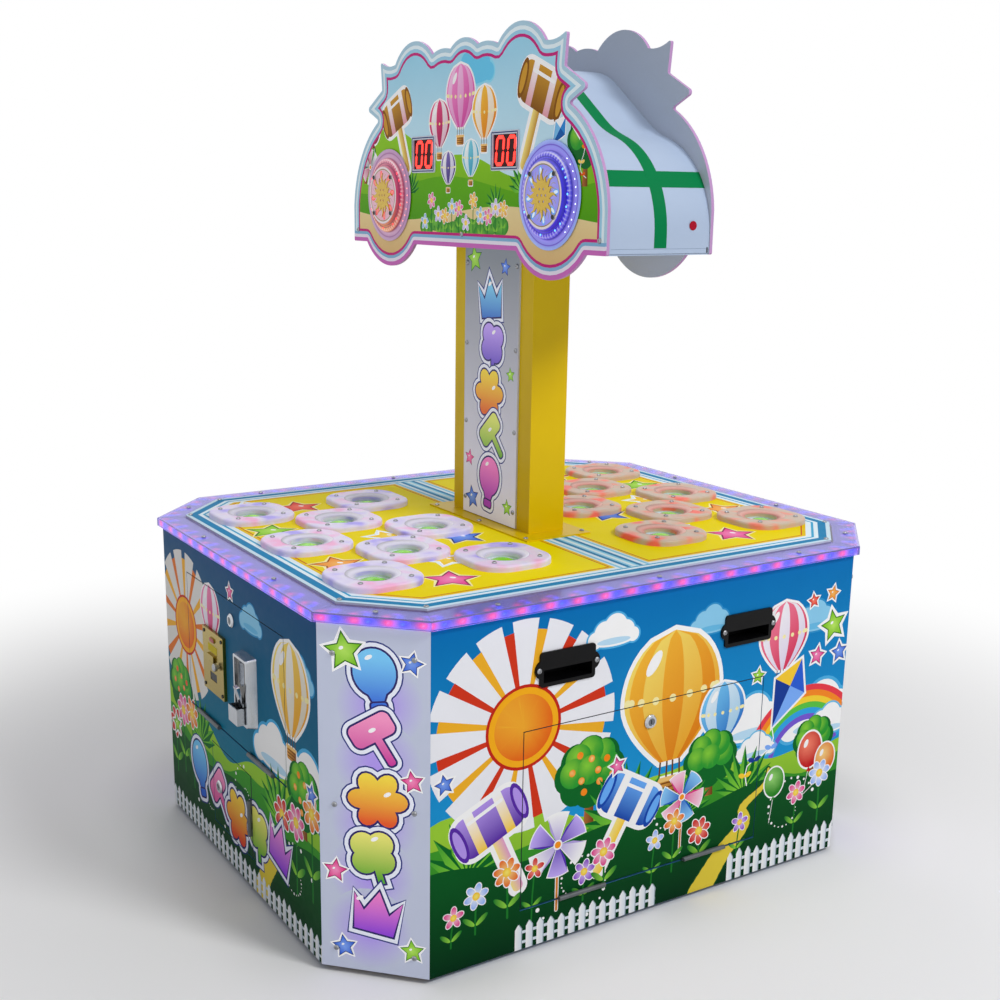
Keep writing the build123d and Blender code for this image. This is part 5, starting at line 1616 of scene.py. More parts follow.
@dataclass
class Cabinet:
    """The printed box: two long sides, two short ends and four milky corner plates."""

    side_width: float = 782.0
    end_width: float = 610.0
    height: float = 511.8
    badge_size: float = 84.0
    lawn_level: float = 150.0
    corner_glow: str = "#b18ef6"
    corner_paper: str = "#c3cadf"

    def backdrop(self, art: Artwork, width: float) -> None:
        """Lay the far clouds and the rolling ground.

        Args:
            art: The print.
            width: Its width.
        """
        high, far = self.height, ("#8fd0f2", "#6cbfea", "#2f94cf")
        art.draw(Cloud((0.93 * width, 0.47 * high), 96, edge="#4fb3e8"),
                 Cloud((0.74 * width, 0.5 * high), 80, edge="#4fb3e8"),
                 Cloud((0.62 * width, 0.86 * high), 46, *far), Cloud((0.9 * width, 0.8 * high), 52, *far),
                 Hill(0, width, 212, ((22, 420, 0.6), (8, 170, 1.0)), "#9ed23a", "#2f8a26"),
                 Hill(0, width, 178, ((20, 510, 2.4), (6, 150, 0.3)), "#3f9c2c", "#0f5c28"))

    def lawn(self, art: Artwork, width: float) -> None:
        """Lay the dark lawn, the yellow path, which widens as it comes near, and dotted swirls.

        Args:
            art: The print.
            width: Its width.
        """
        art.draw(Hill(0, width, self.lawn_level, ((10, 300, 1.4),), "#0b5a24", "#04341a"))
        path = bent([(0.80 * width, 176.0), (0.79 * width, 150.0), (0.735 * width, 122.0),
                     (0.74 * width, 92.0), (0.68 * width, 48.0), (0.625 * width, -8.0)], 5)
        for extra, ink in ((5.0, "#0b5226"), (0.0, "#ead244")):
            for index, (first, last) in enumerate(zip(path, path[1:])):
                wide = 5 + 42 * (index / (len(path) - 2)) ** 1.5
                art.lay(*line([first, last], wide + extra, ink, steps=6))
        art.draw(Swirl((0.32 * width, 80), 74, 200, 1.2, 30, 2.4),
                 Swirl((0.86 * width, 96), 60, 20, 1.1, 26, 2.2),
                 Swirl((0.55 * width, 150), 46, 90, 1.0, 20, 2.0))

    def side_art(self, art: Artwork) -> None:
        """Draw the long side's meadow.

        Args:
            art: The print.
        """
        self.backdrop(art, self.side_width)
        art.draw(Sunburst((150, 345), 158, 16, ("#f4f5fb", "#d83a20", "#f4f5fb", "#f7b52c")),
                 Cloud((300, 452), 50, edge="#4fb3e8"),
                 AirBalloon((418, 352), 92, (("#ffe873", "#f0a018"), ("#ffc23e", "#e27a10"))),
                 AirBalloon((640, 404), 50, (("#ff8aa8", "#d81f4e"), ("#ffffff", "#e3d4f0"))),
                 AirBalloon((520, 300), 44, (("#7fd2ff", "#1668c8"), ("#e8f6ff", "#9fd0f0")), 5),
                 Rainbow((700, 175), 130, 10, 20, 165),
                 Cloud((592, 214), 46), Cloud((752, 226), 54),
                 Tree((268, 168), 84, 58, berry="#ff8c1a"), Tree((500, 160), 62, 50),
                 Tree((722, 150), 58, 42), Leaves((335, 150), 104, 11), Leaves((60, 140), 96, 9),
                 Leaves((572, 148), 80, 9), Leaves((455, 140), 66, 9))
        self.lawn(art, self.side_width)
        art.draw(Kite((655, 300), 60, -28, ("#2f62d8", "#7fb2ff", "#1c3f9a", "#ffd23a")),
                 Mallet((96, 214), 128, 24, ("#b99af2", "#5b2fa8"), "#ffd23a", "#e8a0d0"),
                 Mallet((345, 190), 122, -30, ("#6db2ff", "#1a49b0"), "#ffffff"),
                 Pinwheel((214, 150), 50, (("#c9b2ff", "#5a34b8"), ("#ffffff", "#b9a7e6")), 104),
                 Pinwheel((446, 170), 42, (("#8fd0ff", "#1c5fc8"), ("#ffd6e8", "#e8338c")), 92, 6, 25),
                 ToyBalloon((716, 190), 27, "#ff8a70", "#c8141e", (706, 112)),
                 ToyBalloon((752, 168), 23, "#ffd98a", "#e86a10", (706, 112)),
                 ToyBalloon((640, 150), 22, "#9fe07a", "#2a8a24", (634, 80)))
        petals = (("#ffd0e4", "#e8338c"), ("#ffffff", "#8fb6ff"), ("#ffe08a", "#f0621c"),
                  ("#ff9a8a", "#d0141e"), ("#e8d0ff", "#8a3fd0"))
        for index, x in enumerate((34, 74, 128, 170, 262, 300, 392, 432, 486, 566, 690, 744)):
            art.draw(Flower((x, 38 + 10 * (index % 3)), 46 + 13 * (index % 4), 17 + 3 * (index % 3),
                            petals[index % 5], 5 + index % 3, 4 - 3 * (index % 3)))
        art.draw(Pickets(142, 402, 50), Pickets(548, 782, 58),
                 Star(GREEN, 748, 398, 26, 12), Star(PINK, 716, 352, 16, -10), Star(BLUE, 766, 350, 17, 5),
                 Star(RED, 700, 446, 12, 8), Star(ORANGE, 742, 452, 13, -12), Star(PINK, 318, 250, 14, 10),
                 Star(BLUE, 22, 288, 15, 10), Star(GREEN, 590, 340, 13, -8))

    def end_art(self, art: Artwork) -> None:
        """Draw the short end's meadow, with a row of bright badges over the lawn.

        Args:
            art: The print.
        """
        self.backdrop(art, self.end_width)
        art.draw(Sunburst((96, 360), 128, 14, ("#e8e6e2", "#e8781c", "#e8e6e2", "#f7b52c")),
                 AirBalloon((520, 392), 62, (("#ffe873", "#f0a018"), ("#ffffff", "#e8dcc0"))),
                 AirBalloon((212, 420), 40, (("#ff9ccb", "#d81f6e"), ("#ffffff", "#e3d4f0")), 5),
                 Tree((60, 180), 60, 52, berry="#ff5a3a"), Tree((560, 170), 66, 54, berry="#ff8c1a"),
                 Leaves((150, 170), 84, 9), Leaves((470, 160), 90, 9))
        self.lawn(art, self.end_width)
        petals = (("#ff9a8a", "#d0141e"), ("#ffd0e4", "#e8338c"), ("#ffe08a", "#f0621c"))
        for index, x in enumerate((26, 66, 108, 480, 530, 584)):
            art.draw(Flower((x, 70 + 14 * (index % 2)), 92 + 22 * (index % 3), 28, petals[index % 3], 7))
        kinds = ((Emblem.BALLOON, "#7fd0ff", "#2a66d8"), (Emblem.HAMMER, "#ff9ccb", "#d81f8e"),
                 (Emblem.BLOOM, "#ffd84a", "#e8442c"), (Emblem.CLOVER, "#f6f07a", "#4fae2a"),
                 (Emblem.CROWN, "#ff9ce0", "#8a3fe0"))
        for index, (kind, light, dark) in enumerate(kinds):
            spot = (140 + 82 * index, 126 - 30 * math.sin((index + 0.5) * math.pi / 5))
            art.draw(Badge(kind, spot, 92, light, dark, 14 - 7 * index))
        art.draw(Pickets(0, 610, 46), Star(GREEN, 30, 160, 18, 10), Star(BLUE, 585, 250, 16, -8),
                 Star(PINK, 300, 470, 13, 6))

    def corner_art(self, art: Artwork, width: float) -> None:
        """Draw a corner plate: a column of badges between stars on milky white.

        Args:
            art: The print.
            width: Its width.
        """
        for rise in (400, 318, 226, 150, 66):
            spot = (width / 2 + 0.05 * (rise - 230), rise)
            art.draw(Halo(spot, 62, self.corner_glow, self.corner_paper))
        badge_column(art, width / 2, 434, 86, self.badge_size, (
            (Emblem.BALLOON, "#7fd0ff", "#3a6fe0", 3, 8), (Emblem.HAMMER, "#ff9ccb", "#d0359e", -3, -6),
            (Emblem.BLOOM, "#ffe14a", "#ee5a2a", 5, 0), (Emblem.CLOVER, "#f3ee7a", "#58b030", -2, 6),
            (Emblem.CROWN, "#ff8ad0", "#8a3fe0", 2, -8)))
        art.draw(*(Star(*spot, 1.3) for spot in (
            (GREEN, 38, 472, 27, 8), (BLUE, 132, 462, 16, -12), (PINK, 133, 294, 16, 10),
            (PINK, 22, 150, 17, -6), (BLUE, 34, 34, 17, 10), (GREEN, 133, 40, 17, 6))))

    def cover(self, name: str, facet: Facet, node: str, doors: tuple) -> None:
        """Lay the film of one face over its panel and doors, with their own holes.

        Args:
            name: Name of the face.
            facet: The face.
            node: The CAD node of its panel.
            doors: The CAD nodes of its doors.
        """
        plate = node == "corner_panels"
        # The ends' sky is printed deeper than the sides' as painted shade, since the end faces stand in
        # shade.
        sky = ("#1f9ada", "#0672b8") if node == "side_panels" else ("#147896", "#044c7e")
        ground = Ink(self.corner_paper) if plate else fade(*sky, (0, 200), (0, facet.height))
        art = film_on(facet, node, ground)
        if plate:
            self.corner_art(art, facet.width)
        elif node == "side_panels":
            self.side_art(art)
        else:
            self.end_art(art)
        for door in doors:
            leaf, *holes = loops_on(facet, door)
            art.leaf(leaf, door)
            art.windows(holes)
        art.print_on(facet, f"{name}_print", PLATE_PRINT if plate else PRINT,
                     "corner_acrylic" if plate else "printed_wood", {door: door for door in doors})

    def build(self) -> None:
        """Dress the cabinet's nodes and cover all eight faces."""
        dress({"side_panels": PANEL_EDGE, "end_panels": PANEL_EDGE, "corner_panels": PLATE_WHITE,
               "base_board": WOOD, "rubber_feet": RUBBER, "frame": ZINC, "service_door": SHEET_STEEL,
               "coin_door": SHEET_STEEL, "cash_door": SHEET_STEEL, "hinge_leaves": SHEET_STEEL,
               "screws": STEEL, "lift_handles": GLOSS_BLACK, "control_board": BOARD_GREEN,
               "power_supply": ZINC, "power_inlet": MATT_BLACK, "power_rocker": RED_LENS,
               "cash_box": ZINC})
        nodes = {"right": "side_panels", "left": "side_panels", "front": "end_panels", "rear": "end_panels"}
        doors = {"right": ("service_door",), "front": ("coin_door", "cash_door")}
        for name, facet in cabinet_facets().items():
            self.cover(name, facet, nodes.get(name, "corner_panels"), doors.get(name, ()))


@dataclass
class Playfield:
    """The printed deck: pale and blue bands round two yellow fields with stars."""

    half_x: float = 425.0
    half_y: float = 511.0
    leg: float = 116.5
    gap_half: float = 31.0
    field_inset: float = 84.0
    pitch: float = 40.0

    def inner_edge(self, inset: float) -> tuple[float, float, float]:
        """Return the half sizes and the corner's leg of the cabinet's plan, moved in by a distance."""
        leg = self.leg - inset * (2 - math.sqrt(2))
        return self.half_x - inset, self.half_y - inset, leg

    def octagon(self, inset: float) -> Outline:
        """Draw the cabinet's plan.

        Args:
            inset: How far its edge moves in.

        Returns:
            The outline.
        """
        x, y, leg = self.inner_edge(inset)
        return [(x, leg - y), (x, y - leg), (x - leg, y), (leg - x, y), (-x, y - leg), (-x, leg - y),
                (leg - x, -y), (x - leg, -y)]

    def half_field(self, inset: float, way: int) -> Outline:
        """Draw one player's field.

        Args:
            inset: How far its outer edge lies in from the cabinet's plan.
            way: 1 for the far player, -1 for the near one.

        Returns:
            The outline.
        """
        x, y, leg = self.inner_edge(inset)
        near = self.gap_half + inset - self.field_inset
        return [(x * a, way * b) for a, b in ((1, near), (1, y - leg), (1 - leg / x, y), (leg / x - 1, y),
                                              (-1, y - leg), (-1, near))]

    def build(self) -> None:
        """Lay the print round the target holes and the column's foot."""
        dress({"deck_board": WOOD, "playfield_sheet": PLATE_WHITE, "mole_guides": STRIP,
               "mole_drives": ZINC, **{f"mole_{number}": MOLE for number in range(1, 17)}})
        place, top = middle_of("playfield_sheet"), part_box("playfield_sheet")[1].z
        facet = Facet(Vector((place.x, place.y, top)), RIGHT, REAR)
        art = film_on(facet, "playfield_sheet", Ink("#cfe8f4"), self.pitch)
        for inset, ink in ((51.0, "#1d84b6"), (64.0, "#e4f3fa"), (71.0, "#3aa6d2"), (75.0, "#e4f3fa")):
            art.lay((self.octagon(inset), ink))
        for half, ink in ((28, "#8fd0ec"), (22, "#e4f3fa"), (15, "#1d84b6"), (8, "#9ad8f0"),
                          (3, "#e4f3fa")):
            art.lay((slab(-349, 349, -half, half), ink))
        for way in (-1, 1):
            for inset, ink in ((84.0, "#e9c400"), (90.0, "#c8281c"),
                               (92.0, fade("#f7e400", "#eed800", (0, 0), (0, way * 420)))):
                art.lay((self.half_field(inset, way), ink))
        stars = ((RED, -252, -272), (GREEN, -114, -385), (ORANGE, 122, -380), (PINK, 274, -275),
                 (BLUE, 72, -135), (GREEN, -108, 374), (ORANGE, 127, 375), (PINK, 272, 263),
                 (BLUE, 62, 165), (RED, -254, 270))
        for index, spot in enumerate(stars):
            art.draw(Star(*spot, 40, 8 * (-1) ** index, 1.2, "#fdf3b4"))
        for x, y in ((8, -235), (-180, -205), (180, -225), (-300, -345), (0, 300), (-200, 215), (196, 205)):
            art.draw(Star(PALE_GOLD, x, y, 34, 14, 1.32, "#e8f6fc"))
        art.windows([slab(-150, 150, -58, 58)])
        art.print_on(facet, "playfield_film", FIELD_PRINT, "playfield_print")


def crest(value: float, middle: float, half: float) -> float:
    """Return how near a value is to a middle: 1 there, and less and less away from it."""
    return math.exp(-((value - middle) / half) ** 2)


@dataclass
class LitRim:
    """The clear rim with strips of coloured light behind it.

    Each glow is given by its colour, its strength, its place and half length along the rim, and its
    place and half height up and over the rim's section.
    """

    plan: Playfield
    wall: float = 4.45
    floor: float = 521.6
    ceiling: float = 531.1
    step: float = 3.4
    pitch: float = 47.0
    boss_inset: tuple = (15.4, 24.6)
    boss_radius: float = 0.014
    screw_levels: tuple = (0.530, 0.540)
    inner: float = 40.2
    thick: float = 0.3
    glows: tuple = (("#b79af0", 0.6, 9.5, 9.0, 5.0, 6.0), ("#ff1c5a", 1.0, 0.0, 8.6, 5.0, 5.2),
                    ("#0f2cff", 1.0, 19.0, 7.6, 5.0, 5.0), ("#ff8cae", 0.8, 0.0, 2.4, 5.0, 2.0),
                    ("#5c8cff", 0.8, 19.0, 2.4, 5.0, 2.0), ("#e02a78", 1.0, -5.0, 5.4, 17.0, 3.6),
                    ("#1c38ee", 1.0, 14.0, 5.0, 18.0, 3.4), ("#8a4cd0", 0.8, 8.0, 7.0, 29.0, 3.0))

    def colour(self, along: float, across: float) -> Colour:
        """Find the light's colour on the strips.

        Args:
            along: Length along the rim.
            across: Way up and over the rim's section.

        Returns:
            The linear colour.
        """
        swell = 0.5 + 0.5 * math.sin(along / 131)
        shade = mixed(linear("#8270ba"), linear("#1a2a60"), min(1.0, across / 15) * 0.9 + 0.1 * swell)
        for code, strength, spot, wide, level, tall in self.glows:
            off = (along - spot + self.pitch / 2) % self.pitch - self.pitch / 2
            share = strength * crest(off, 0.0, wide) * crest(across, level, tall)
            shade = mixed(shade, linear(code), share)
        return shade

    def section(self) -> list[Point]:
        """Draw the strip's section, up behind the rim's wall and in under its top.

        Returns:
            The inset and the level of each point.
        """
        profile = [(self.wall, self.floor + (self.ceiling - self.floor) * k / 4) for k in range(5)]
        for near, far, rows in ((self.wall, self.boss_inset[0], 4), (*self.boss_inset, 1),
                                (self.boss_inset[1], self.inner, 3)):
            profile += [(near + (far - near) * (k + 1) / rows, self.ceiling) for k in range(rows)]
        return profile

    def build(self) -> None:
        """Dress the rim and hang the glowing strips inside it, open round the screws' bosses."""
        dress({"rim": RIM, "light_strips": STRIP})
        centre = middle_of("side_panels")
        profile = self.section()
        lengths = [z - self.floor + inset - self.wall for inset, z in profile]
        rings = [self.plan.octagon(inset) for inset, _ in profile]
        screws = {(round(v.co.x, 2), round(v.co.y, 2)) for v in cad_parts["screws"].data.vertices
                  if self.screw_levels[0] < v.co.z < self.screw_levels[1]}
        points, faces, inks = [], [], []
        travelled = 0.0
        for side in range(8):
            after = (side + 1) % 8
            long = math.dist(rings[0][side], rings[0][after])
            count = max(1, round(long / self.step))
            for cell, row in ((cell, row) for cell in range(count) for row in range(len(profile) - 1)):
                spots, tints = [], []
                for step, which in ((cell, row), (cell + 1, row), (cell + 1, row + 1), (cell, row + 1)):
                    share = step / count
                    x, y = (a + (b - a) * share for a, b in zip(rings[which][side], rings[which][after]))
                    spots.append(Vector((x * MM + centre.x, y * MM + centre.y, profile[which][1] * MM)))
                    tints.append(self.colour(travelled + share * long, lengths[which]))
                middle = sum(spots, Vector()) / 4
                if profile[row][0] == self.boss_inset[0] and any(
                        math.dist(middle.xy, screw) < self.boss_radius for screw in screws):
                    continue
                faces.append(list(range(len(points), len(points) + 4)))
                points += spots
                inks += tints
            travelled += long
        made = piece("rim_glow", points, faces, GLOW, CABINET, inks)
        skin = made.modifiers.new("thickness", "SOLIDIFY")
        skin.thickness, skin.offset = self.thick * MM, -1.0


@dataclass
class Targets:
    """The frosted target rings with a glazed dish round each hole."""

    inner: Point = (27.3, 5.55)
    outer: Point = (40.4, 9.95)
    sides: int = 64

    def build(self) -> None:
        """Dress the rings; line their dishes in painted ring light, cool for the near player and warm for
        the far one.
        """
        dress({"target_rings": RINGS})
        centre = middle_of("playfield_sheet")
        facet = Facet(Vector((centre.x, centre.y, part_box("target_rings")[0].z)), RIGHT, REAR)
        for number in range(1, 17):
            place = middle_of(f"mole_{number}")
            spot = ((place.x - centre.x) / MM, (place.y - centre.y) / MM)
            # The dish's tints are painted light from the rings' glow, lavender near and salmon far, darker
            # towards the hole as painted shade in the dish.
            tints = ("#d4d0e6", "#f2f0fa") if spot[1] < 0 else ("#d8948a", "#f0c8bc")
            lathe(f"dish_{number}", facet, spot, [self.inner, self.outer], self.sides, FIELD_PRINT,
                  lambda radius, _, pair=tuple(map(linear, tints)): mixed(
                      *pair, (radius - 27) / 9))


@dataclass
class Column:
    """The yellow column with a printed sign on each player's side."""

    badge_size: float = 82.0

    def build(self) -> None:
        """Dress the column and print both signs."""
        dress({"column": YELLOW, "sign_panels": PLATE_WHITE})
        low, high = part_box("sign_panels")
        for name, along, side in (("front", RIGHT, low.y), ("rear", LEFT, high.y)):
            facet = Facet(Vector((0, side, low.z)), along, OVER)
            # The paper fades from pale at the foot to dark grey at the top: painted shadow of the head over
            # the sign.
            art = film_on(facet, "sign_panels", fade("#ecebfb", "#8e949c", (0, 20), (0, 430)))
            badge_column(art, 0, 366, 76, self.badge_size, (
                (Emblem.CROWN, "#8fe0ff", "#3a6fd0", -2, 6), (Emblem.CLOVER, "#c8a8ff", "#6a50d0", 4, -8),
                (Emblem.BLOOM, "#ffe14a", "#ee6a2a", -3, 0), (Emblem.HAMMER, "#e6f07a", "#58b030", 3, 4),
                (Emblem.BALLOON, "#ff8ad0", "#b03fc0", 0, -6)))
            art.draw(*(Star(*spot, 1.15) for spot in (
                (GREEN, -52, 430, 22, 10), (BLUE, 40, 420, 14, -8), (GREEN, 60, 250, 12, 8),
                (PINK, -62, 96, 14, -8), (BLUE, -52, 28, 20, 12), (GREEN, 56, 30, 14, 4))))
            art.print_on(facet, f"{name}_sign", PLATE_PRINT, "sign_print")


@dataclass(frozen=True)
class LampColours:
    """The lights of a lamp at one moment of their cycle."""

    halo: tuple
    lens: tuple
    pale: tuple
    spark: tuple
    line: str
    groove: str


COOL = LampColours(("#8f7ff0", "#93aef2"), ("#2406ee", "#6a60f4", "#8c7cf2", "#5838ee"),
                   ("#bdb8f4", "#8583ee"), ("#5aa8ff", "#e4f2ff"), "#5a2fc0", "#1c0fa0")
WARM = LampColours(("#c596b8", "#b58fb8"), ("#d81c62", "#e0809a", "#e0786e", "#f09a4c"),
                   ("#e8c6d2", "#d39cb2"), ("#ff3a44", "#ff8c80"), "#8a4a86", "#7a1c50")


@dataclass
class Lamp:
    """One round lamp: a tinted halo, a ribbed lens, a pale disc with a ring line and bright drops."""

    facet: Facet
    name: str
    tint: LampColours
    screw_ring: float = 42.0
    lens_edge: float = 62.5
    halo_wide: float = 14.5
    ribs: int = 54
    grooves: tuple = (50.0, 53.8, 62.0)
    lens: tuple = ((48.2, 14.05), (49.0, 13.25), (50.0, 7.7), (52.0, 8.7), (53.8, 9.35), (55.5, 9.68),
                   (57.3, 9.35), (59.0, 8.7), (60.6, 7.5), (62.0, 6.0))
    halo_lift: float = 2.2
    halo_rings: tuple = (63.1, 66.0, 68.6, 69.3, 70.0, 70.7, 71.4, 76.8)
    disc_lift: float = 14.2

    def paint(self, radius: float, angle: float) -> Colour:
        """Find the colour of the halo or the lens, with painted highlights and shade on the lens.

        Args:
            radius: Distance from the lamp's middle.
            angle: Way round it in degrees.

        Returns:
            The linear colour.
        """
        if radius > self.lens_edge:
            base = mixed(*map(linear, self.tint.halo), (radius - self.lens_edge) / self.halo_wide)
            return mixed(base, linear(self.tint.line), crest(radius, 70.0, 1.1))
        white, dark = linear("#ffffff"), linear(self.tint.groove)
        quarter = angle / 90 % 4
        first = int(quarter) % 4
        base = mixed(linear(self.tint.lens[first]), linear(self.tint.lens[(first + 1) % 4]), quarter % 1)
        # The ribs turn light and dark in turn: painted highlight and shade of the ribbed lens.
        rib = math.cos(math.radians(angle * self.ribs)) * crest(radius, 57.0, 3.4)
        base = mixed(base, white if rib > 0 else dark, 0.42 * abs(rib))
        # Each groove is darkened as painted shade.
        for groove in self.grooves:
            base = mixed(base, dark, 0.85 * crest(radius, groove, 0.8))
        # A painted highlight runs along the lens's crest, strongest towards the upper right.
        glint = 0.25 + 0.6 * max(0.0, math.cos(math.radians(angle - 55))) ** 6
        return mixed(base, white, glint * crest(radius, 59.4, 0.9))

    def caps(self) -> None:
        """Cap the disc's four screws in black, on top of the highest point found on each."""
        tree = BVHTree.FromObject(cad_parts["screws"], bpy.context.evaluated_depsgraph_get())
        for number, angle in enumerate((45, 135, 225, 315)):
            spot = spoke((0, 0), self.screw_ring, angle)
            hits = [tree.ray_cast(self.facet.at(*point, 60.0), -self.facet.out, 60 * MM)[0]
                    for point in disc(spot, 1.9, 8)]
            tops = [(hit - self.facet.at(0, 0)).dot(self.facet.out) / MM for hit in hits if hit is not None]
            if tops:
                plates(f"{self.name}_cap_{number}", self.facet, [disc(spot, 3.3, 18)], max(tops) - 1.2,
                       max(tops) + 0.35, MATT_BLACK)

    def dial(self) -> None:
        """Print the pale disc with its ring lines, drops and curls."""
        art = Artwork(disc((0, 0), 47.9, 72), bloom(*self.tint.pale, (0, 0), 48), 6.0)
        for radius, width, code in ((45.6, 3.2, "#dccfd2"), (43.2, 1.7, "#85763a")):
            art.lay(*line(disc((0, 0), radius, 60), width, code, True, 2))
        for angle in range(8, 360, 45):
            for wide, tall, code in ((7.4, 4.6, self.tint.spark[0]), (5.2, 2.4, self.tint.spark[1])):
                art.lay((oval(spoke((0, 0), 34, angle), wide, tall, angle, 18), code))
        for angle in range(0, 360, 15):
            curl = [spoke((0, 0), reach, angle + turn)
                    for reach, turn in ((24, 0), (28, 5), (32, 3), (36.5, -3))]
            art.lay(*line(curl, 0.8, "#9a8858", False, 2))
        art.print_on(self.facet, f"{self.name}_disc", LAMP_GLOW, "lamp_clear", lift=self.disc_lift)

    def build(self) -> None:
        """Lay the skins, the disc and the bright drops over the lens, partly LED points and partly painted
        highlight.
        """
        self.caps()
        profile = [*self.lens, *((radius, self.halo_lift) for radius in self.halo_rings)]
        lathe(f"{self.name}_skin", self.facet, (0, 0), profile, 4 * self.ribs, LAMP_GLOW,
              self.paint)
        self.dial()
        # The bright drops in an arc on the lens's right side stand partly for LED points and partly for a
        # painted highlight.
        outer = [oval(spoke((0, 0), 65.4, a), 0.6, 1.1, a, 12) for a in range(-50, 51, 10)]
        plates(f"{self.name}_drops", self.facet, outer, 2.1, 2.7, LED_AND_GLINT_DROP, self.tint.spark[1])
        inner = [disc(spoke((0, 0), 55.5, a), 1.5, 12) for a in (-44, -16, 2, 26, 40, 150, 205, 262, 300)]
        plates(f"{self.name}_sparks", self.facet, inner, 9.5, 10.1, LED_AND_GLINT_DROP, self.tint.spark[0])


@dataclass
class ScoreDisplay:
    """Two lit digits behind a red window."""

    facet: Facet
    name: str
    digit_tall: float = 39.0
    digit_wide: float = 18.5
    stroke: float = 5.4
    slant: float = 0.1
    gap: float = 0.6
    lefts: tuple = (-27.0, 4.0)

    def segments(self, left: float) -> list[Outline]:
        """Draw the six lit bars of a nought.

        Args:
            left: Where the digit starts.

        Returns:
            The outline of each bar.
        """
        tall, wide, half = self.digit_tall, self.digit_wide, self.stroke / 2
        knees = [(0, 0), (wide, 0), (wide, tall / 2), (wide, tall), (0, tall), (0, tall / 2)]
        made = []
        for first, last in zip(knees, knees[1:] + knees[:1]):
            long = math.dist(first, last)
            ux, uy = (last[0] - first[0]) / long, (last[1] - first[1]) / long
            near, far = self.gap, long - self.gap
            shape = []
            for along, across in ((near, 0), (near + half, half), (far - half, half), (far, 0),
                                  (far - half, -half), (near + half, -half)):
                x, y = first[0] + ux * along - uy * across, first[1] + uy * along + ux * across
                shape.append((left + x + self.slant * y, y - tall / 2))
            made.append(shape)
        return made

    def build(self) -> None:
        """Lay the window's dark line and light the digits."""
        digits = [bar for left in self.lefts for bar in self.segments(left)]
        plates(f"{self.name}_digits", self.facet, digits, -0.45, 0.1, DIGIT, "#ff2a1c")
        for way, end in ((-1, "low"), (1, "high")):
            lines = [rounded((0, way * 26.3), 71, 1.6, 0.7, 3), rounded((way * 35.3, 0), 1.6, 51, 0.7, 3)]
            plates(f"{self.name}_line_{end}", self.facet, lines, 2.45, 2.75, FIELD_PRINT,
                   "#1d3f7c")


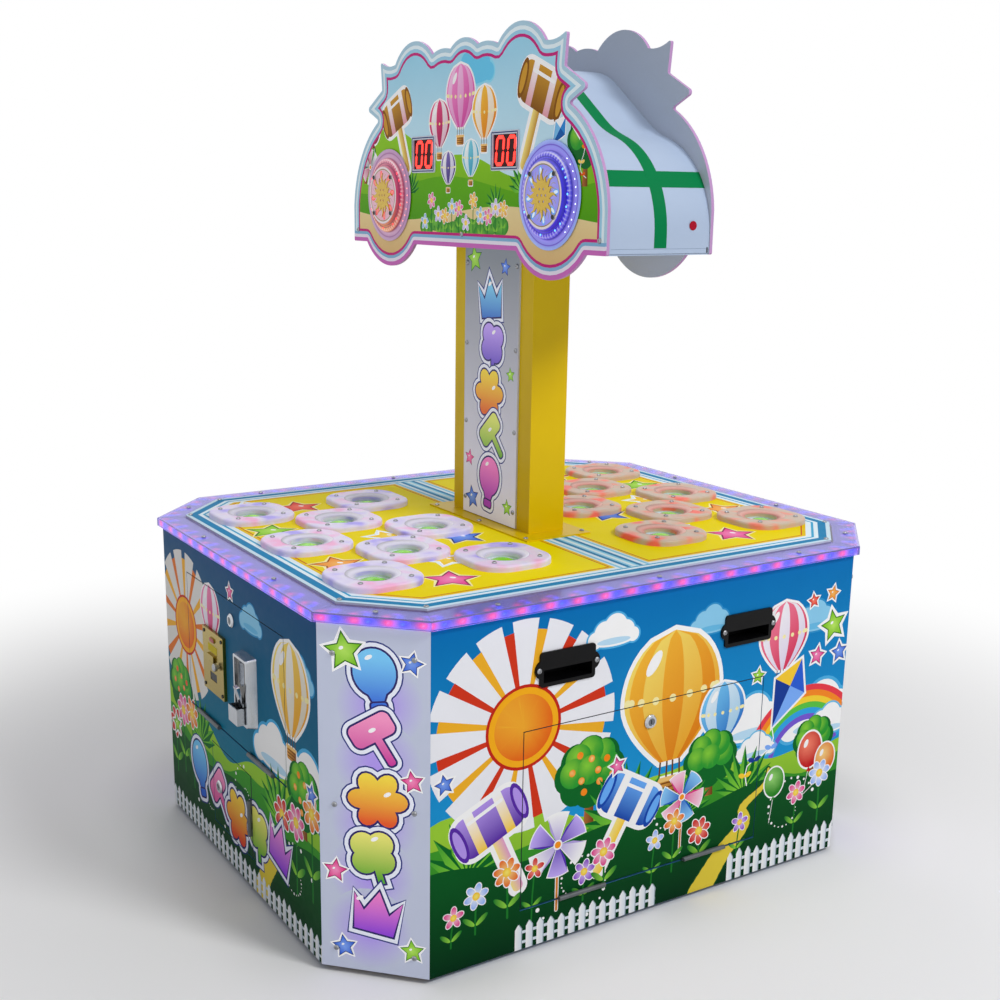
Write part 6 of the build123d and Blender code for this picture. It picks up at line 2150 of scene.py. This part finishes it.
@dataclass
class Head:
    """The lit head: two shaped boards with lamps and displays, and the white cover between them."""

    lamp_across: float = 240.0
    lamp_rise: float = 80.0
    score_across: float = 122.0
    score_rise: float = 145.0
    board_half: float = 376.0
    board_pitch: float = 22.0
    tape_half: float = 11.0
    tape_start: float = 1.15
    tape_sweep: float = 177.7
    tape_steps: int = 180
    band_levels: tuple = (1084.0, 1095.0, 1106.0)
    tape_green: str = "#007843"

    def board_art(self, art: Artwork) -> None:
        """Draw the board's meadow and the bands along its edge.

        Args:
            art: The print.
        """
        art.draw(Cloud((30, 262), 60, "#6cccf2", "#6cccf2", "#90dcf6"))
        for level, waves, top, foot in ((150, ((34, 900, 3.6), (10, 260, 0.8)), "#8ecb22", "#4aa00e"),
                                        (96, ((14, 520, 2.2),), "#62b010", "#1f7c0c"),
                                        (52, ((12, 640, 0.4),), "#ecd69c", "#dcb074")):
            art.draw(Hill(-self.board_half, self.board_half, level, waves, top, foot, -40.0))
        art.draw(AirBalloon((-8, 236), 42, (("#ff9ad8", "#d23c9c"), ("#ffd0f0", "#e07ac0")), 7),
                 AirBalloon((-72, 196), 32, (("#f0508a", "#a81450"), ("#ffffff", "#e8b8cc")), 5),
                 AirBalloon((62, 208), 34, (("#ffd04a", "#e87a12"), ("#ffffff", "#f6dcae")), 5),
                 AirBalloon((24, 140), 24, (("#8fe0f0", "#1f9ac0"), ("#ffffff", "#b8e4f0")), 5),
                 AirBalloon((-44, 126), 22, (("#8a78c8", "#3a2a70"), ("#ffffff", "#c8c0e8")), 5),
                 Tree((-330, 100), 52, 36, "#2b7a2a", "#58b03a", "#b6e068"), Tree((322, 92), 62, 40),
                 Leaves((-170, 84), 44, 9), Leaves((170, 84), 50, 9), Leaves((96, 62), 36, 7),
                 Mallet((-214, 214), 104, 22, ("#d29a34", "#865314"), "#e8a0ac", "#c8922e"),
                 Mallet((212, 226), 118, -22, ("#d29a34", "#865314"), "#e8a0ac", "#c8922e"),
                 Kite((296, 190), 34, 18, ("#ffb62a", "#f08a1c", "#ffd870", "#e8601c")),
                 ToyBalloon((-298, 196), 26, "#c86060", "#8a1c20", (-290, 120)),
                 Pinwheel((-312, 128), 30, (("#ffffff", "#8a8a96"), ("#f6d0dc", "#c05a7a")), 40),
                 Kite((258, 168), 24, -40, ("#2f8ad8", "#1c5fae", "#7cc0f0", "#ffffff")))
        petals = (("#ffffff", "#6fb4ec"), ("#ffd0e4", "#e8559c"), ("#ffffff", "#c8b4f0"),
                  ("#fff0a8", "#f0a01c"))
        for index in range(9):
            spot = (-112 + 28 * index, 30 + 9 * math.sin(1.9 * index))
            art.lay((oval(spot, 22, 15), bloom("#7cc84a", "#2f8a30", spot, 20)))
        for index in range(12):
            foot = (-118 + 21.5 * index, 14 + 10 * (index % 2))
            art.draw(Flower(foot, 24 + 12 * ((index * 5) % 3), 13, petals[index % 4], 5 + index % 2))
        edge = simpler(art.outline, 0.5)
        for width, colour in ((22.0, "#c8287c"), (17.5, "#9fd2ec"), (12.0, "#e8f6fc"), (6.5, "#b2d4e6")):
            art.lay(*line(edge, 2 * width, colour, True, 6))
        low = sorted((p for p in edge if p[1] < 1.5), key=lambda p: p[0])
        for width, colour in ((17.5, "#86b6da"), (12.5, "#ece6f4"), (7.0, "#cf6fc0")):
            art.lay(*line(low, 2 * width, colour, False, 6))

    def build(self) -> None:
        """Dress the head, print both boards, and build their lamps and displays."""
        dress({"head_boards": BOARD_BACK, "head_cover": WHITE, "head_tray": WHITE, "speaker": MATT_BLACK,
               "lamp_lenses": LENS, "lamp_suns": SUN_GOLD, "score_frames": PLATE_WHITE,
               "score_modules": WINDOW})
        low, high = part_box("head_boards")
        bottom = middle_of("lamp_lenses").z - self.lamp_rise * MM
        for name, along, side in (("front", RIGHT, low.y), ("rear", LEFT, high.y)):
            facet = Facet(Vector((0, side, bottom)), along, OVER)
            sky = fade("#d0eefa", "#98d4ee", (0, 120), (0, 320))
            art = film_on(facet, "head_boards", sky, self.board_pitch)
            self.board_art(art)
            art.print_on(facet, f"{name}_board", BOARD_PRINT, "head_print")
            for way, tint, hand in ((-1, WARM, "left"), (1, COOL, "right")):
                spot = Facet(facet.at(way * self.lamp_across, self.lamp_rise), along, OVER)
                Lamp(spot, f"{name}_{hand}_lamp", tint).build()
                score = Facet(facet.at(way * self.score_across, self.score_rise), along, OVER)
                ScoreDisplay(score, f"{name}_{hand}_score").build()
        self.tape()
        self.trim()

    def tape(self) -> None:
        """Lay the green strips over the cover and across both its ends."""
        tree = BVHTree.FromObject(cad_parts["head_cover"], bpy.context.evaluated_depsgraph_get())
        centre = middle_of("head_cover")
        low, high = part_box("head_cover")
        heart = Vector((0.0, centre.y, low.z))
        over = []
        for step in range(self.tape_steps + 1):
            angle = math.radians(self.tape_start + step * self.tape_sweep / self.tape_steps)
            way = Vector((math.cos(angle), 0, math.sin(angle)))
            over.append(tree.ray_cast(heart + way, -way)[:2])
        self.strip("tape_over", [row for row in over if row[0] is not None],
                   Vector((0, 1, 0)) * self.tape_half * MM)
        for side, reach in (("right", 1), ("left", -1)):
            rows = [tree.ray_cast(Vector((reach, centre.y, rise * MM)), Vector((-reach, 0, 0)))[:2]
                    for rise in self.band_levels]
            self.strip(f"tape_{side}", rows, Vector((0, (high.y - low.y) / 2, 0)))

    def trim(self) -> None:
        """Lay the red marker, the fold's line and the small clip on the cover's end."""
        low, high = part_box("head_cover")
        facet = Facet(Vector((high.x, middle_of("head_cover").y, low.z)), REAR, OVER)
        half = (high.y - low.y) / 2 / MM
        for name, outline, lift, finish, colour in (
                ("red_marker", disc((58, 38), 6.5, 24), 0.4, TAPE, "#a5152b"),
                ("cover_fold", slab(3 - half, half - 5, 6.2, 6.7), 0.12, TAPE, "#8797ae"),
                ("cover_clip", slab(half - 4.2, half - 2.0, 0.4, 8.0), 0.5, MATT_BLACK, "#ffffff")):
            plates(name, facet, [outline], 0.02, lift, finish, colour)

    def strip(self, name: str, path: list, half: Vector) -> None:
        """Lay a thin strip of tape along points on a surface.

        Args:
            name: Name of the piece.
            path: The points, each with the surface's normal there.
            half: From the path to the strip's edge.
        """
        points = [hit + normal * lift * MM + half * way
                  for hit, normal in path for lift in (0.05, 0.25) for way in (-1, 1)]
        faces = []
        for a in range(0, len(points) - 4, 4):
            b = a + 4
            faces += [[a + 2, a + 3, b + 3, b + 2], [a + 1, a, b, b + 1], [a, a + 2, b + 2, b],
                      [a + 3, a + 1, b + 1, b + 3]]
        end = len(points) - 4
        faces += [[0, 1, 3, 2], [end + 1, end, end + 2, end + 3]]
        inks = [linear(self.tape_green)] * sum(map(len, faces))
        piece(name, points, faces, TAPE, CABINET, inks)


@dataclass
class CoinGear:
    """The locks, the coin acceptor and the meter plate."""

    face_depth: float = 13.0
    screw_across: float = 36.5
    screw_rise: float = 45.0

    def build(self) -> None:
        """Dress the metalwork, trim the meter plate and line the acceptor's sunk face with painted shade.
        """
        dress({"service_lock_barrel": CHROME, "coin_lock_barrel": CHROME, "cash_lock_barrel": CHROME,
               "service_lock": PLUG, "coin_lock": PLUG, "cash_lock": PLUG, "coin_acceptor": CAST,
               "return_lever": CHROME, "meter_plate": GOLD, "meter_button": STEEL})
        place = middle_of("meter_plate")
        facet = Facet(Vector((place.x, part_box("end_panels")[0].y, place.z)), RIGHT, OVER)
        caps = [disc((x * self.screw_across, y * self.screw_rise), 3.0, 20)
                for x in (-1, 1) for y in (-1, 1)]
        for name, outlines, low, high, finish, colour in (
                ("lens", [rounded((0, 38), 18.6, 6.6, 3.25)], 6.9, 7.4, RED_LENS, "#ffffff"),
                ("window", [slab(-13.6, 13.6, -30.6, -17.4)], 4.65, 4.95, GREY_LCD, "#ffffff"),
                ("label", [slab(-20, 18, 17, 29)], 5.3, 5.8, FIELD_PRINT, "#c9b52c"),
                ("tab", [slab(-19, 9, 2.2, 13)], 5.3, 9.0, GOLD, "#ffffff"),
                ("screws", caps, 5.4, 6.6, GLOSS_BLACK, "#ffffff")):
            plates(f"meter_{name}", facet, outlines, low, high, finish, colour, "coin_door")
        middle = middle_of("coin_acceptor")
        mouth = Facet(Vector((middle.x, facet.corner.y - self.face_depth * MM, middle.z)), RIGHT, OVER)
        # The dark film, darkest at the top, is painted shade in the acceptor's recess.
        art = film_on(mouth, "coin_acceptor", fade("#3a362a", "#17150f", (0, -50), (0, 50)))
        art.print_on(mouth, "acceptor_face", MIRROR_PRINT, "acceptor_chrome", {"": "coin_door"}, 0.2)


@dataclass
class Studio:
    """The floor, the lights and the camera at the photo's angle."""

    eye: tuple = (1.8373, -1.2062, 1.0622)
    azimuth: float = 58.65455
    down: float = 13.78168
    roll: float = 0.4971
    lens: float = 47.70
    sensor: float = 36.0
    shift: tuple = (0.0421, 0.0268)
    sky: float = 0.36
    aim: tuple = (0.0, 0.0, 0.6)
    floor_radius: float = 9.0
    floor_sides: int = 64

    def camera(self) -> None:
        """Place the camera."""
        azimuth, down, roll = (math.radians(v) for v in (self.azimuth, self.down, self.roll))
        ahead = Vector((-math.sin(azimuth) * math.cos(down), math.cos(azimuth) * math.cos(down),
                        -math.sin(down)))
        right = ahead.cross(OVER).normalized()
        top = right.cross(ahead)
        across = right * math.cos(roll) + top * math.sin(roll)
        upward = top * math.cos(roll) - right * math.sin(roll)
        data = bpy.data.cameras.new("photo_camera")
        data.lens, data.sensor_width = self.lens, self.sensor
        data.shift_x, data.shift_y = self.shift
        data.clip_start, data.clip_end = 0.01, 100.0
        seen = placed("photo_camera", data)
        turn = Matrix((across, upward, -ahead)).transposed().to_4x4()
        seen.matrix_world = Matrix.Translation(Vector(self.eye)) @ turn
        bpy.context.scene.camera = seen

    def light(self, name: str, place: tuple, size: float, power: float) -> None:
        """Hang a soft white light that looks at the middle of the machine.

        Args:
            name: Name of the light.
            place: Where it hangs, in metres.
            size: Its diameter in metres.
            power: Its power in watts.
        """
        data = bpy.data.lights.new(name, "AREA")
        data.shape, data.size, data.energy = "DISK", size, power
        spot = Vector(place)
        turn = (Vector(self.aim) - spot).to_track_quat("-Z", "Y").to_matrix().to_4x4()
        placed(name, data).matrix_world = Matrix.Translation(spot) @ turn

    def floor(self) -> bpy.types.Object:
        """Lay a pale floor that fades into the white behind it.

        Returns:
            The floor.
        """
        bench = Bench("pale_floor", {"Base Color": (0.86, 0.86, 0.86, 1.0), "Roughness": 0.85,
                                     "Specular IOR Level": 0.2})
        away = bench.add("ShaderNodeVectorMath", {0: bench.place()}, {"operation": "LENGTH"})
        share = bench.add("ShaderNodeMapRange", {"Value": away.outputs["Value"], "From Min": 0.75,
                                                 "From Max": 1.9}, {"interpolation_type": "SMOOTHSTEP"})
        white = bench.add("ShaderNodeEmission", {"Color": (1.0, 1.0, 1.0, 1.0), "Strength": 1.0})
        blend = bench.add("ShaderNodeMixShader", {0: share.outputs[0], 1: bench.skin.outputs[0],
                                                  2: white.outputs[0]})
        bench.tree.links.new(blend.outputs[0], bench.tree.nodes["Material Output"].inputs["Surface"])
        mesh = bpy.data.meshes.new("floor")
        edge = disc((0.0, 0.0), self.floor_radius, self.floor_sides)
        mesh.from_pydata([(*spot, 0.0) for spot in edge], [], [list(range(self.floor_sides))])
        mesh.materials.append(bench.made)
        return placed("floor", mesh)

    def world(self) -> None:
        """Set white behind the machine and in what it mirrors, and a softer level as light."""
        world = bpy.data.worlds.new("studio")
        bpy.context.scene.world = world
        world.use_nodes = True
        tree = world.node_tree
        ray = tree.nodes.new("ShaderNodeLightPath")
        seen = ray.outputs["Is Camera Ray"]
        for output in ("Is Glossy Ray", "Is Transmission Ray"):
            both = tree.nodes.new("ShaderNodeMath")
            both.operation, both.use_clamp = "ADD", True
            tree.links.new(seen, both.inputs[0])
            tree.links.new(ray.outputs[output], both.inputs[1])
            seen = both.outputs[0]
        blend = tree.nodes.new("ShaderNodeMix")
        blend.data_type = "RGBA"
        blend.inputs["A"].default_value = (self.sky, self.sky, self.sky * 1.03, 1.0)
        blend.inputs["B"].default_value = (1.0, 1.0, 1.0, 1.0)
        tree.links.new(seen, blend.inputs["Factor"])
        tree.links.new(blend.outputs["Result"], tree.nodes["Background"].inputs["Color"])

    def build(self) -> None:
        """Set up the whole studio."""
        bpy.context.scene.view_settings.view_transform = "Standard"
        self.floor()
        self.world()
        self.light("key", (3.0, 1.0, 3.1), 1.1, 78)
        self.light("top", (0.3, -0.2, 3.6), 1.0, 20)
        self.light("far", (-2.4, 0.8, 3.0), 1.6, 10)
        self.camera()


def main() -> None:
    """Build the machine's looks in order, then the studio round it."""
    logging.basicConfig(level=logging.INFO, format="%(message)s")
    plan = Playfield()
    for part in (Cabinet(), plan, LitRim(plan), Targets(), Column(), Head(), CoinGear(), Studio()):
        part.build()
        log.info("%s is done", type(part).__name__)


if __name__ == "__main__":
    main()
